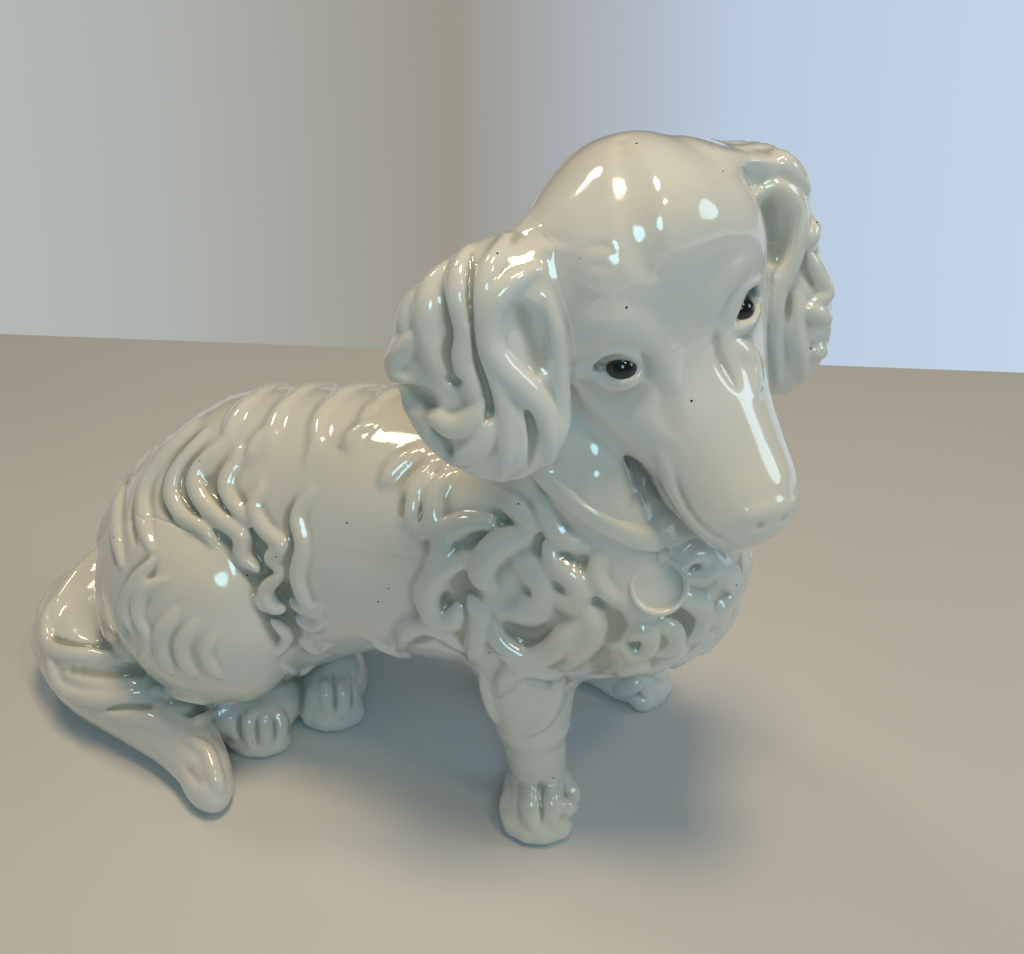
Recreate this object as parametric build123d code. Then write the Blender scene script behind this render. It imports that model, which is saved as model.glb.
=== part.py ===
from build123d import *
import math
import os

# A seated long-haired dog in glazed earthenware, 314 mm tall, cast in pieces and luted together.
# It is shaped in a stance frame: the origin is on the ground midway between the forepaws, +X is
# ahead of the dog, +Y is its left and +Z is up. All pieces then move so that the origin is under
# the middle of the whole figure. Lengths are millimetres and angles are degrees.

# Clay and firing
WALL = 5.0                  # cast wall of the hollow pieces
VENT_DIAMETER = 9.0         # firing vent in the seat
LUTE_GAP = 0.15             # slip left between the neck spigot and its socket
CUT_OVERRUN = 400.0         # reach of the blocks that trim a piece at a plane
BAND_COUNT = 2              # bands of surface between two listed sections of a form

# Trunk
BODY_LENGTH = 306.0         # rump end to front of chest
BODY_WIDTH = 118.0          # across the chest
BODY_DEPTH = 132.0          # back to breast
CHEST_HEIGHT = 131.0        # middle of the chest above the ground
CHEST_REACH = 58.0          # front of chest ahead of the forepaws

# Sections of the trunk from chest to rump: behind the chest front, to the left, above the ground,
# half width and half depth, as shares of length, width, chest height, width and depth
TRUNK_SHARES = [
    (0.000, 0.00, 0.92, 0.06, 0.06),
    (0.010, 0.00, 0.93, 0.17, 0.17),
    (0.036, 0.00, 0.97, 0.29, 0.24),
    (0.098, 0.00, 1.02, 0.43, 0.38),
    (0.206, -0.01, 1.02, 0.49, 0.46),
    (0.353, -0.05, 0.99, 0.48, 0.47),
    (0.500, -0.09, 0.95, 0.48, 0.48),
    (0.641, -0.14, 0.82, 0.51, 0.57),
    (0.771, -0.19, 0.66, 0.53, 0.66),
    (0.882, -0.22, 0.54, 0.50, 0.59),
    (0.948, -0.24, 0.49, 0.39, 0.44),
    (0.987, -0.25, 0.48, 0.22, 0.24),
    (1.000, -0.25, 0.48, 0.08, 0.09),
]
SHOULDER_SECTION = 4        # the section that carries the neck and forelegs
SEAT_SECTION = 9            # the section over the firing vent

# Main locks of the coat, as ridges that lie on both sides of the trunk
LOCK_WIDTH = 15.0
LOCK_HEIGHT = 4.5           # above the skin
LOCK_BEDDING = 3.0          # middle of a lock's ends below the skin
LOCK_FULLNESS = (0.4, 1.0, 0.4)
# Start, middle and end of each lock: behind the chest front as a share of the length, and degrees
# round the trunk from its top
LOCKS = [
    ((0.88, 10), (0.91, 34), (0.86, 60)),
    ((0.81, 10), (0.79, 38), (0.74, 60)),
    ((0.71, 24), (0.67, 54), (0.61, 76)),
    ((0.61, 38), (0.58, 64), (0.55, 92)),
    ((0.42, 26), (0.40, 46), (0.42, 64)),
    ((0.29, 50), (0.35, 62), (0.36, 76)),
    ((0.31, 72), (0.36, 86), (0.32, 100)),
    ((0.23, 52), (0.28, 66), (0.26, 80)),
    ((0.19, 60), (0.16, 74), (0.19, 90)),
    ((0.28, 93), (0.22, 107), (0.16, 96)),
    ((0.10, 92), (0.06, 106), (0.09, 124)),
]

# Head: turned to the dog's right, nodding down, and tilted with its left side up
HEAD_LENGTH = 152.0
HEAD_WIDTH = 77.0
HEAD_DEPTH = 82.0
HEAD_TURN = -24.0
HEAD_NOD = 42.0
HEAD_TILT = 17.0
HEAD_AHEAD = 9.5            # middle of the skull ahead of the forepaws
HEAD_LEFT = -12.5
HEAD_HEIGHT = 275.0
SKULL_MIDDLE_SHARE = 0.263  # where the middle of the skull lies along the head

# Sections of the head from nape to nose: along the head, above its axis, half width and half depth,
# as shares of length, depth, width and depth
HEAD_SHARES = [
    (0.015, 0.04, 0.05, 0.05),
    (0.030, 0.04, 0.17, 0.16),
    (0.075, 0.04, 0.32, 0.29),
    (0.160, 0.04, 0.43, 0.40),
    (0.270, 0.03, 0.49, 0.455),
    (0.380, -0.03, 0.52, 0.43),
    (0.490, -0.195, 0.545, 0.335),
    (0.590, -0.275, 0.475, 0.30),
    (0.700, -0.305, 0.38, 0.275),
    (0.810, -0.32, 0.33, 0.245),
    (0.905, -0.33, 0.285, 0.215),
    (0.965, -0.335, 0.22, 0.165),
    (0.992, -0.335, 0.14, 0.105),
    (1.000, -0.335, 0.06, 0.05),
]

# Eyes: black beads bedded in the head, placed along, aside and above the middle of the skull
EYE_DIAMETER = 15.0
EYE_PLACE_SHARES = (0.235, 0.33, 0.015)

# Neck, from the shoulders into the skull, parted under the collar
NECK_FOOT_RADIUS = 49.0
NECK_COLLAR_RADIUS = 47.0
NECK_NAPE_RADIUS = 38.0
NECK_CROWN_RADIUS = 12.0    # inside the skull
NECK_FOOT_LEAD = 10.0       # foot of the neck ahead of the shoulder section
NECK_TOP_SHARES = (0.0, 0.0, -0.08)
NECK_PARTING_SHARE = 0.41   # how far up the neck the collar lies
NECK_NAPE_SHARE = 0.76
NECK_BORE = 66.0            # socket in the body for the head's spigot
SPIGOT_LENGTH = 9.0
SPIGOT_WALL = 5.0
THROAT_DIAMETER = 46.0      # way from the spigot up into the hollow skull

# Collar, tag and the loop that carries the tag
COLLAR_WIDTH = 8.0
COLLAR_THICKNESS = 3.0
COLLAR_SLOPE = 27.0         # front of the collar below level
TAG_DIAMETER = 23.0
TAG_THICKNESS = 4.0
TAG_RIM = 2.2               # width of the raised rim
TAG_RECESS = 1.2            # depth of the field inside the rim
TAG_BEDDING = 9.0           # how deep the back of the tag may follow the round of the chest
TAG_STAND = 3.0             # back of the tag above the skin of the chest
TAG_BEHIND_SHARE = 0.075    # tag's place on the chest, behind its front
TAG_AROUND = 60.0           # and round it from its top
TAG_LEAN = 28.0             # tag's face turned up from level
TAG_FACING = -58.0          # and turned to the dog's right
LOOP_WIRE = 4.0

# Ears, as flat lobes
EAR_LENGTH = 78.0
EAR_WIDTH = 70.0
EAR_THICKNESS = 22.0
EAR_ROOT_SHARES = (-0.07, 0.42, 0.20)
# Sections of each ear from root to tip: ahead, left and up from the root as shares of the length,
# then half width and half thickness as shares of width and thickness
RIGHT_EAR_SHARES = [
    (0.00, 0.00, 0.00, 0.23, 0.40),
    (-0.13, -0.17, -0.08, 0.33, 0.52),
    (-0.22, -0.24, -0.34, 0.42, 0.54),
    (-0.21, -0.29, -0.62, 0.42, 0.50),
    (-0.13, -0.33, -0.88, 0.34, 0.40),
    (-0.09, -0.35, -1.02, 0.14, 0.18),
]
LEFT_EAR_SHARES = [
    (0.00, 0.00, 0.06, 0.14, 0.40),
    (0.16, 0.20, -0.03, 0.20, 0.48),
    (0.26, 0.25, -0.38, 0.24, 0.50),
    (0.35, 0.26, -0.76, 0.28, 0.48),
    (0.37, 0.26, -1.04, 0.22, 0.38),
    (0.38, 0.27, -1.18, 0.09, 0.18),
]
RIGHT_EAR_SPREAD = 21.0     # direction of the ear's width, turned left from straight ahead
LEFT_EAR_SPREAD = 25.0

# Forelegs, with their shoulders inside the trunk
FORELEG_HEIGHT = 108.0      # top of the leg above the ground
SHOULDER_RADIUS = 27.0
ELBOW_RADIUS = 21.0
WRIST_RADIUS = 15.5
SHOULDER_STANCE = 70.0      # across the tops of the two legs
RIGHT_WRIST_AHEAD = -13.0
RIGHT_WRIST_ASIDE = -35.0
LEFT_WRIST_AHEAD = -5.0
LEFT_WRIST_ASIDE = 58.0

# Paws: rounded pads with toes, cut flat where they rest
PAW_LENGTH = 40.0
PAW_WIDTH = 35.0
PAW_HEIGHT = 30.0
PAW_FLAT = 3.0              # depth of the round that is cut away under a paw
PAW_REACH = 3.0             # middle of the paw ahead of its leg
TOE_COUNT = 4
TOE_RADIUS = 7.0
TOE_FAN = 28.0              # angle between neighbouring toes
RIGHT_FOREPAW_HEADING = -70.0
LEFT_FOREPAW_HEADING = -5.0

# Thighs, and the hind feet that lie out to the dog's right
THIGH_LENGTH = 100.0
THIGH_WIDTH = 70.0
RIGHT_THIGH_HEIGHT = 116.0
RIGHT_THIGH_RISE = 78.0     # middle of the thigh above the ground
LEFT_THIGH_HEIGHT = 92.0    # lower, because the dog lies over on this side
LEFT_THIGH_RISE = 42.0
RIGHT_THIGH_SHARES = (0.765, -0.50)     # behind the chest front, and aside of the middle
LEFT_THIGH_SHARES = (0.785, 0.18)
HIND_PAW_LENGTH = 54.0
HIND_SHANK_RADIUS = 16.0
RIGHT_HIND_PAW_SHARES = (0.722, -0.36)
LEFT_HIND_PAW_SHARES = (0.650, -0.11)
RIGHT_HIND_PAW_HEADING = -69.0
LEFT_HIND_PAW_HEADING = -61.0

# Tail, laid round the right side of the rump
TAIL_WIDTH = 42.0
TAIL_HEIGHT = 52.0
TAIL_STRETCHES = 3          # the tail doubles back, and one stretch turns less than a quarter circle
# Sections of the tail from root to tip: behind the chest front and aside of the middle as shares of
# the body's length and width, above the ground and half across as shares of height and width
TAIL_SHARES = [
    (0.930, 0.04, 0.98, 0.38),
    (1.020, -0.07, 0.86, 0.44),
    (1.075, -0.27, 0.70, 0.49),
    (1.075, -0.50, 0.56, 0.50),
    (1.000, -0.68, 0.47, 0.50),
    (0.880, -0.735, 0.40, 0.48),
    (0.775, -0.77, 0.30, 0.41),
    (0.710, -0.83, 0.20, 0.28),
    (0.685, -0.87, 0.14, 0.12),
]

UP = Vector(0, 0, 1)
AHEAD = Vector(1, 0, 0)
LEFT = Vector(0, 1, 0)
STAND_UPRIGHT = (Align.CENTER, Align.CENTER, Align.MIN)


def mixed(start, end, share):
    return start + (end - start) * share


def unit(vector):
    return vector.normalized()


def heading(degrees):
    # A level direction, turned to the left from straight ahead
    return Vector(math.cos(math.radians(degrees)), math.sin(math.radians(degrees)), 0)


def raised(direction, degrees):
    # A level direction, raised above level
    return direction * math.cos(math.radians(degrees)) + UP * math.sin(math.radians(degrees))


def oval(middle, normal, across, half_width, half_depth):
    # An elliptical section whose width lies along the given direction
    level = across - unit(normal) * across.dot(unit(normal))
    return Plane(origin=middle, x_dir=level, z_dir=normal) * Ellipse(half_width, half_depth)


def ellipsoid(middle, ahead, length, width, height):
    ball = scale(Sphere(1), by=(length / 2, width / 2, height / 2))
    return Plane(origin=middle, x_dir=ahead, z_dir=UP).location * ball


def smooth_rows(table):
    # Adds rows between those of a table, on a curve that passes through every listed row
    rows = []
    last = len(table) - 1
    for index in range(last):
        around = [table[min(max(index + step, 0), last)] for step in (-1, 0, 1, 2)]
        for band in range(BAND_COUNT):
            rows.append(tuple(curve_value(band / BAND_COUNT, *values) for values in zip(*around)))
    return rows + [table[last]]


def curve_value(share, before, start, end, after):
    # A smooth curve from start to end whose slopes also heed the values on either side
    slope_in = (end - before) / 2
    slope_out = (after - start) / 2
    rise = end - start
    bend = 3 * rise - 2 * slope_in - slope_out
    twist = slope_in + slope_out - 2 * rise
    return start + share * (slope_in + share * (bend + share * twist))


def chain_tangents(points):
    # The direction of a chain of points at each of them
    last = len(points) - 1
    return [unit(points[min(i + 1, last)] - points[max(i - 1, 0)]) for i in range(len(points))]


def banded(ovals):
    return loft(ovals, ruled=True)


def block_above(plane):
    return plane * Box(2 * CUT_OVERRUN, 2 * CUT_OVERRUN, CUT_OVERRUN, align=STAND_UPRIGHT)


def above_ground(solid, height):
    return solid & block_above(Plane(origin=(0, 0, height)))


def trunk_place(behind_share, aside_share, height):
    return Vector(CHEST_REACH - behind_share * BODY_LENGTH, aside_share * BODY_WIDTH, height)


def trunk_section(row):
    # Middle, half width and half depth of one section of the trunk
    behind, aside, rise, half_width, half_depth = row
    middle = trunk_place(behind, aside, rise * CHEST_HEIGHT)
    return middle, half_width * BODY_WIDTH, half_depth * BODY_DEPTH


def trunk_form(inset):
    ovals = []
    for row in smooth_rows(TRUNK_SHARES):
        middle, wide, deep = trunk_section(row)
        if min(wide, deep) > 2 * inset:
            ovals.append(oval(middle, AHEAD, LEFT, wide - inset, deep - inset))
    return banded(ovals)


def trunk_skin(behind_share, around, side):
    # A place on the skin of the trunk and the direction out of it
    rows = smooth_rows(TRUNK_SHARES)
    after = next(index for index, row in enumerate(rows) if row[0] > behind_share)
    first, second = rows[after - 1], rows[after]
    share = (behind_share - first[0]) / (second[0] - first[0])
    middle, wide, deep = trunk_section([mixed(*values, share) for values in zip(first, second)])
    aside = LEFT * side * math.sin(math.radians(around))
    above = UP * math.cos(math.radians(around))
    return middle + aside * wide + above * deep, unit(aside / wide + above / deep)


def lock(places, side):
    # A ridge along places on the trunk that dips under the skin at both ends
    rows = smooth_rows([(*place, fullness) for place, fullness in zip(places, LOCK_FULLNESS)])
    skin = [trunk_skin(behind, around, side) for behind, around, fullness in rows]
    ovals = []
    for (point, outward), tangent, row in zip(skin, chain_tangents([place for place, out in skin]), rows):
        fullness = row[-1]
        middle = point - outward * LOCK_BEDDING * (1 - fullness)
        across = outward.cross(tangent)
        ovals.append(oval(middle, tangent, across, fullness * LOCK_WIDTH / 2, fullness * LOCK_HEIGHT))
    return banded(ovals)


def head_place():
    # The frame of the head, at the middle of the skull with x to the nose and z to the crown
    nose = raised(heading(HEAD_TURN), -HEAD_NOD)
    crown = (UP - nose * nose.Z).rotate(Axis((0, 0, 0), tuple(nose)), HEAD_TILT)
    return Plane(origin=(HEAD_AHEAD, HEAD_LEFT, HEAD_HEIGHT), x_dir=nose, z_dir=crown)


HEAD = head_place()


def head_point(along_share, aside_share, above_share):
    return HEAD.from_local_coords(
        Vector(along_share * HEAD_LENGTH, aside_share * HEAD_WIDTH, above_share * HEAD_DEPTH)
    )


def skull_form(inset):
    ovals = []
    for along, above, half_width, half_depth in smooth_rows(HEAD_SHARES):
        wide = half_width * HEAD_WIDTH
        deep = half_depth * HEAD_DEPTH
        if min(wide, deep) > 2 * inset:
            middle = head_point(along - SKULL_MIDDLE_SHARE, 0, above)
            ovals.append(oval(middle, HEAD.x_dir, HEAD.y_dir, wide - inset, deep - inset))
    return banded(ovals)


NECK_FOOT = trunk_section(TRUNK_SHARES[SHOULDER_SECTION])[0] + AHEAD * NECK_FOOT_LEAD
NECK_TOP = head_point(*NECK_TOP_SHARES)
NECK_STAGES = [
    (0.0, NECK_FOOT_RADIUS),
    (NECK_PARTING_SHARE, NECK_COLLAR_RADIUS),
    (NECK_NAPE_SHARE, NECK_NAPE_RADIUS),
    (1.0, NECK_CROWN_RADIUS),
]
PARTING = Plane(
    origin=mixed(NECK_FOOT, NECK_TOP, NECK_PARTING_SHARE),
    x_dir=raised(AHEAD, -COLLAR_SLOPE),
    z_dir=raised(AHEAD, math.degrees(math.pi / 2) - COLLAR_SLOPE),
)


def neck_form(growth):
    axis = NECK_TOP - NECK_FOOT
    return banded([
        oval(mixed(NECK_FOOT, NECK_TOP, share), axis, AHEAD, radius + growth, radius + growth)
        for share, radius in smooth_rows(NECK_STAGES)
    ])


def parting_cylinder(radius, start, length):
    # A cylinder square to the parting of the neck, from the given height above it
    return PARTING.offset(start) * Cylinder(radius, length, align=STAND_UPRIGHT)


def body_outside():
    locks = [lock(places, side) for places in LOCKS for side in (-1, 1)]
    whole = trunk_form(0).fuse(neck_form(0), *locks)
    return above_ground(whole - block_above(PARTING), 0)


def body_shell(outside):
    throat_depth = NECK_FOOT_RADIUS
    throat = parting_cylinder(NECK_BORE / 2, -throat_depth, throat_depth)
    hollow = trunk_form(WALL) - block_above(PARTING.offset(-SPIGOT_LENGTH))
    seat_middle = trunk_section(TRUNK_SHARES[SEAT_SECTION])[0]
    vent = Pos(seat_middle.X, seat_middle.Y, 0) * Cylinder(VENT_DIAMETER / 2, 4 * WALL)
    return outside - above_ground(hollow, WALL) - throat - vent


def head_outside():
    return skull_form(0) + (neck_form(0) & block_above(PARTING))


def head_shell(outside, eyes):
    spigot_radius = NECK_BORE / 2 - LUTE_GAP
    spigot = parting_cylinder(spigot_radius, -SPIGOT_LENGTH, SPIGOT_LENGTH)
    mouth = parting_cylinder(spigot_radius - SPIGOT_WALL, -SPIGOT_LENGTH, 2 * SPIGOT_LENGTH)
    rise = NECK_TOP - PARTING.origin
    throat = Plane(origin=PARTING.origin, z_dir=rise) * Cylinder(
        THROAT_DIAMETER / 2, rise.length, align=STAND_UPRIGHT
    )
    return outside + spigot - skull_form(WALL) - throat - mouth - eyes[0] - eyes[1]


def eye_bead(side):
    along, aside, above = EYE_PLACE_SHARES
    place = Plane(origin=head_point(along, side * aside, above), z_dir=HEAD.y_dir * side)
    return place * Sphere(EYE_DIAMETER / 2)


def ear_lobe(side, table, spread):
    along, aside, above = EAR_ROOT_SHARES
    root = head_point(along, side * aside, above)
    return banded([
        oval(root + Vector(*row[:3]) * EAR_LENGTH, -UP, spread, row[3] * EAR_WIDTH, row[4] * EAR_THICKNESS)
        for row in smooth_rows(table)
    ])


def collar_band():
    slab = block_above(PARTING.offset(-COLLAR_WIDTH / 2)) - block_above(PARTING.offset(COLLAR_WIDTH / 2))
    return neck_form(COLLAR_THICKNESS) & slab


def tag_place():
    # The frame of the tag's back, on the chest, with y up along the chest
    skin = trunk_skin(TAG_BEHIND_SHARE, TAG_AROUND, -1)[0]
    face = raised(heading(TAG_FACING), TAG_LEAN)
    return Plane(origin=skin + face * TAG_STAND, x_dir=UP.cross(face), z_dir=face)


def tag_disc():
    place = tag_place()
    radius = TAG_DIAMETER / 2
    disc = place.offset(-TAG_BEDDING) * Cylinder(radius, TAG_BEDDING + TAG_THICKNESS, align=STAND_UPRIGHT)
    floor = place.offset(TAG_THICKNESS - TAG_RECESS)
    return disc - floor * Cylinder(radius - TAG_RIM, 2 * TAG_RECESS, align=STAND_UPRIGHT)


def tag_loop():
    # A short post from the upper edge of the tag to the nearest stretch of the collar
    place = tag_place()
    foot = place.from_local_coords(Vector(0, TAG_DIAMETER / 2 - LOOP_WIRE, TAG_THICKNESS / 2))
    bearing = PARTING.to_local_coords(place.origin)
    outward = unit(Vector(bearing.X, bearing.Y, 0)) * (NECK_COLLAR_RADIUS + COLLAR_THICKNESS)
    top = PARTING.from_local_coords(outward)
    return banded([oval(end, top - foot, place.x_dir, LOOP_WIRE, LOOP_WIRE / 2) for end in (foot, top)])


def paw(middle, ahead, length):
    # A rounded pad with its toes fanned round the front
    toe_middle = middle + ahead * (length - PAW_WIDTH) / 2 - UP * (middle.Z - TOE_RADIUS + PAW_FLAT)
    toes = []
    for number in range(TOE_COUNT):
        outward = ahead.rotate(Axis.Z, (number - (TOE_COUNT - 1) / 2) * TOE_FAN)
        toes.append(Pos(*(toe_middle + outward * (PAW_WIDTH - TOE_RADIUS) / 2)) * Sphere(TOE_RADIUS))
    return ellipsoid(middle, ahead, length, PAW_WIDTH, PAW_HEIGHT) + toes


def paw_height():
    return PAW_HEIGHT / 2 - PAW_FLAT


def foreleg(side, wrist_ahead, wrist_aside, paw_heading):
    shoulder = trunk_section(TRUNK_SHARES[SHOULDER_SECTION])[0]
    top = Vector(shoulder.X, side * SHOULDER_STANCE / 2, FORELEG_HEIGHT)
    wrist = Vector(wrist_ahead, wrist_aside, paw_height())
    stages = [(0.0, SHOULDER_RADIUS), (0.5, ELBOW_RADIUS), (1.0, WRIST_RADIUS)]
    leg = banded([
        oval(mixed(top, wrist, share), wrist - top, AHEAD, radius, radius)
        for share, radius in smooth_rows(stages)
    ])
    ahead = heading(paw_heading)
    return above_ground(leg + paw(wrist + ahead * PAW_REACH, ahead, PAW_LENGTH), 0)


def thigh(shares, rise, height, inset):
    sizes = [size - 2 * inset for size in (THIGH_LENGTH, THIGH_WIDTH, height)]
    return above_ground(ellipsoid(trunk_place(*shares, rise), AHEAD, *sizes), inset)


def right_thigh(inset):
    return thigh(RIGHT_THIGH_SHARES, RIGHT_THIGH_RISE, RIGHT_THIGH_HEIGHT, inset)


def left_thigh(inset):
    return thigh(LEFT_THIGH_SHARES, LEFT_THIGH_RISE, LEFT_THIGH_HEIGHT, inset)


def hind_foot(paw_shares, thigh_shares, paw_heading):
    middle = trunk_place(*paw_shares, paw_height())
    hock = trunk_place(*thigh_shares, HIND_SHANK_RADIUS)
    shank = banded([
        oval(hock, middle - hock, UP, HIND_SHANK_RADIUS, HIND_SHANK_RADIUS),
        oval(middle, middle - hock, UP, PAW_HEIGHT / 2, PAW_WIDTH / 2),
    ])
    return above_ground(paw(middle, heading(paw_heading), HIND_PAW_LENGTH) + shank, 0)


def tail_form(inset):
    rows = smooth_rows(TAIL_SHARES)
    points = [trunk_place(behind, aside, rise * TAIL_HEIGHT) for behind, aside, rise, half in rows]
    ovals = []
    for point, tangent, row in zip(points, chain_tangents(points), rows):
        wide = row[3] * TAIL_WIDTH
        high = row[3] * TAIL_HEIGHT
        if min(wide, high) > 2 * inset:
            ovals.append(oval(point, tangent, UP.cross(tangent), wide - inset, high - inset))
    last = len(ovals) - 1
    ends = [round(stretch * last / TAIL_STRETCHES) for stretch in range(TAIL_STRETCHES + 1)]
    stretches = [banded(ovals[start:end + 1]) for start, end in zip(ends, ends[1:])]
    return above_ground(stretches[0].fuse(*stretches[1:]), inset)


def build_pieces():
    # Each piece is trimmed by the ones that were made before it, so that neighbours meet face to face
    body = body_outside()
    head = head_outside()
    eyes = [eye_bead(-1), eye_bead(1)]
    pieces = {"body_shell": body_shell(body), "head_shell": head_shell(head, eyes)}
    pieces["eye_right"], pieces["eye_left"] = eyes

    collar = collar_band() - body - head
    tag = tag_disc() - body - collar - head
    pieces["collar"] = collar
    pieces["tag"] = tag
    pieces["tag_loop"] = tag_loop() - body - head - collar - tag

    pieces["ear_right"] = ear_lobe(-1, RIGHT_EAR_SHARES, heading(RIGHT_EAR_SPREAD)) - head - body - collar
    pieces["ear_left"] = ear_lobe(1, LEFT_EAR_SHARES, heading(LEFT_EAR_SPREAD)) - head - body - collar

    right_leg = foreleg(-1, RIGHT_WRIST_AHEAD, RIGHT_WRIST_ASIDE, RIGHT_FOREPAW_HEADING)
    left_leg = foreleg(1, LEFT_WRIST_AHEAD, LEFT_WRIST_ASIDE, LEFT_FOREPAW_HEADING)
    pieces["foreleg_right"] = right_leg - body
    pieces["foreleg_left"] = left_leg - body

    thighs = [right_thigh(0), left_thigh(0)]
    pieces["thigh_right"] = thighs[0] - right_thigh(WALL) - body
    pieces["thigh_left"] = thighs[1] - left_thigh(WALL) - body

    right_foot = hind_foot(RIGHT_HIND_PAW_SHARES, RIGHT_THIGH_SHARES, RIGHT_HIND_PAW_HEADING)
    left_foot = hind_foot(LEFT_HIND_PAW_SHARES, LEFT_THIGH_SHARES, LEFT_HIND_PAW_HEADING)
    pieces["hind_foot_right"] = right_foot - body - thighs[0] - thighs[1]
    pieces["hind_foot_left"] = left_foot - body - thighs[0] - thighs[1] - right_foot
    tail = tail_form(0) - tail_form(WALL)
    pieces["tail"] = tail - body - thighs[0] - thighs[1] - right_foot
    return pieces


def centred(pieces):
    # Moves all pieces so that the origin is on the ground under the middle of the figure
    box = Compound(children=[Compound(piece.solids()) for piece in pieces.values()]).bounding_box()
    shift = Pos(-box.center().X, -box.center().Y, -box.min.Z)
    return {name: shift * piece for name, piece in pieces.items()}


def main():
    os.makedirs("parts", exist_ok=True)
    for name, piece in centred(build_pieces()).items():
        export_step(piece, f"parts/{name}.step")


main()
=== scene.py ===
import math

import bpy
import numpy as np
import openvdb
from mathutils import Matrix, Vector


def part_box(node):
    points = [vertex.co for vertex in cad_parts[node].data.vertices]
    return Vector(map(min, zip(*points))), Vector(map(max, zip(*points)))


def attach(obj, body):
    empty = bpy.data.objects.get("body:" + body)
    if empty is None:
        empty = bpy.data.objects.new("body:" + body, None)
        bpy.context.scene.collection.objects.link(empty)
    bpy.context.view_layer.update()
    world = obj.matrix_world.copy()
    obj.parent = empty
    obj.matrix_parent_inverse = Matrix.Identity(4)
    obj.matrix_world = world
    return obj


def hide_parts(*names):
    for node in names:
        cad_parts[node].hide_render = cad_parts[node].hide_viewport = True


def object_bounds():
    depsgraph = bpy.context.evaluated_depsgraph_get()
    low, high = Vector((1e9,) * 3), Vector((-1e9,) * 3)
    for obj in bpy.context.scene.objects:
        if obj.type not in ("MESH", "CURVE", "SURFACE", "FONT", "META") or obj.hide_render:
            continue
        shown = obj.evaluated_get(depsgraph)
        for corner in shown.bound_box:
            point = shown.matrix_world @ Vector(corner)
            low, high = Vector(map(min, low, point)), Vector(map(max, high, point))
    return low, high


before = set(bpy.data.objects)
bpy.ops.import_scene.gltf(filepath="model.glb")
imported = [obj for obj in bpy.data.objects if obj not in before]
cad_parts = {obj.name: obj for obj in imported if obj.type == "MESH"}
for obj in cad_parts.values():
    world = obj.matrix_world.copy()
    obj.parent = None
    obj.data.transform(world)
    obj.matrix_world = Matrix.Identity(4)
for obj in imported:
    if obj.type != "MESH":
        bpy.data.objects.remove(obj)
cad_low, cad_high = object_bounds()

# The dog is modelled like clay: forms are blended in a box of voxels that holds the distance to the
# surface, locks of hair are laid on as ridges and grooves, and each piece is meshed from its own box.
# All of it is in millimetres in a stance frame, with the origin on the ground midway between the
# forepaws, +X ahead of the dog, +Y to its left and +Z up.
MM = 0.001
FAR = 40.0  # distance that stands for empty space
TINY = 1e-6  # keeps divisions from zero
UP = np.array([0.0, 0.0, 1.0])
EDGE_SHARE = 0.001  # keeps index places inside the last voxel

# Photograph and its camera, as fitted to the contacts with the table
PHOTO_SIZE = (1024, 954)
FOCAL_PIXELS = 1100
CAMERA_PLACE = (125.16, -362.2, 416.83)
CAMERA_AZIMUTH = 25.0
CAMERA_ELEVATION = 33.0
SENSOR_WIDTH = 36.0
AZIMUTH = math.radians(CAMERA_AZIMUTH)
ELEVATION = math.radians(CAMERA_ELEVATION)
CAMERA_RIGHT = np.array([math.cos(AZIMUTH), math.sin(AZIMUTH), 0.0])
CAMERA_AHEAD = np.array([
    -math.sin(AZIMUTH) * math.cos(ELEVATION),
    math.cos(AZIMUTH) * math.cos(ELEVATION),
    -math.sin(ELEVATION),
])
CAMERA_UP = np.cross(CAMERA_RIGHT, CAMERA_AHEAD)
NEAREST_SIGHT = 250.0  # no part of the dog is nearer to the camera
SIGHT_STEPS = 60
SIGHT_SHARE = 0.7  # share of the distance to the skin that each step goes
SIGHT_BACK = 3.0  # longest step back out of the skin
SNAP_STEPS = 8
SNAP_SHARE = 0.8

# Fineness of the clay
QUICK_COARSENING = 1.0
SNAP_VOXEL = 2.4  # voxel of the bare forms that strokes are laid on
PROUD = 9.0  # how far a piece's voxels reach beyond its CAD box
OVERLAP = 2.2  # how far a piece runs on under its neighbour
SINK = 0.7  # how deep it lies there
GLAZE_SOFTENING = 1  # passes that round the clay as the glaze does
POOL_PASSES = 10  # passes that tell hollows from swells
FORM_REACH = 14.0  # how far around a form its distance is worked out
ROD_MARGIN = 5  # the same around the rod of a stroke, in voxels
SECTION_STEPS = 5  # steps between two sections of a loft
THINNEST_SECTION = 0.5
STEEPNESS_RANGE = (0.6, 3.0)  # corrections of a loft's distances stay between these

# Trunk, from chest to rump: behind the chest front, to the left, above the ground, half width and half
# depth, as shares of length, width, chest height, width and depth
BODY_LENGTH = 306.0
BODY_WIDTH = 118.0
BODY_DEPTH = 132.0
CHEST_HEIGHT = 131.0
CHEST_REACH = 58.0
TRUNK_SHARES = [
    (0.000, 0.00, 0.98, 0.06, 0.06),
    (0.010, 0.00, 0.99, 0.17, 0.15),
    (0.036, 0.00, 1.01, 0.29, 0.215),
    (0.098, 0.00, 1.05, 0.43, 0.345),
    (0.206, -0.01, 1.02, 0.49, 0.46),
    (0.353, -0.05, 0.99, 0.48, 0.47),
    (0.500, -0.09, 0.95, 0.48, 0.48),
    (0.641, -0.12, 0.82, 0.46, 0.57),
    (0.771, -0.16, 0.66, 0.475, 0.66),
    (0.882, -0.20, 0.54, 0.47, 0.59),
    (0.948, -0.24, 0.49, 0.39, 0.44),
    (0.987, -0.25, 0.48, 0.22, 0.24),
    (1.000, -0.25, 0.48, 0.08, 0.09),
]

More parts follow.
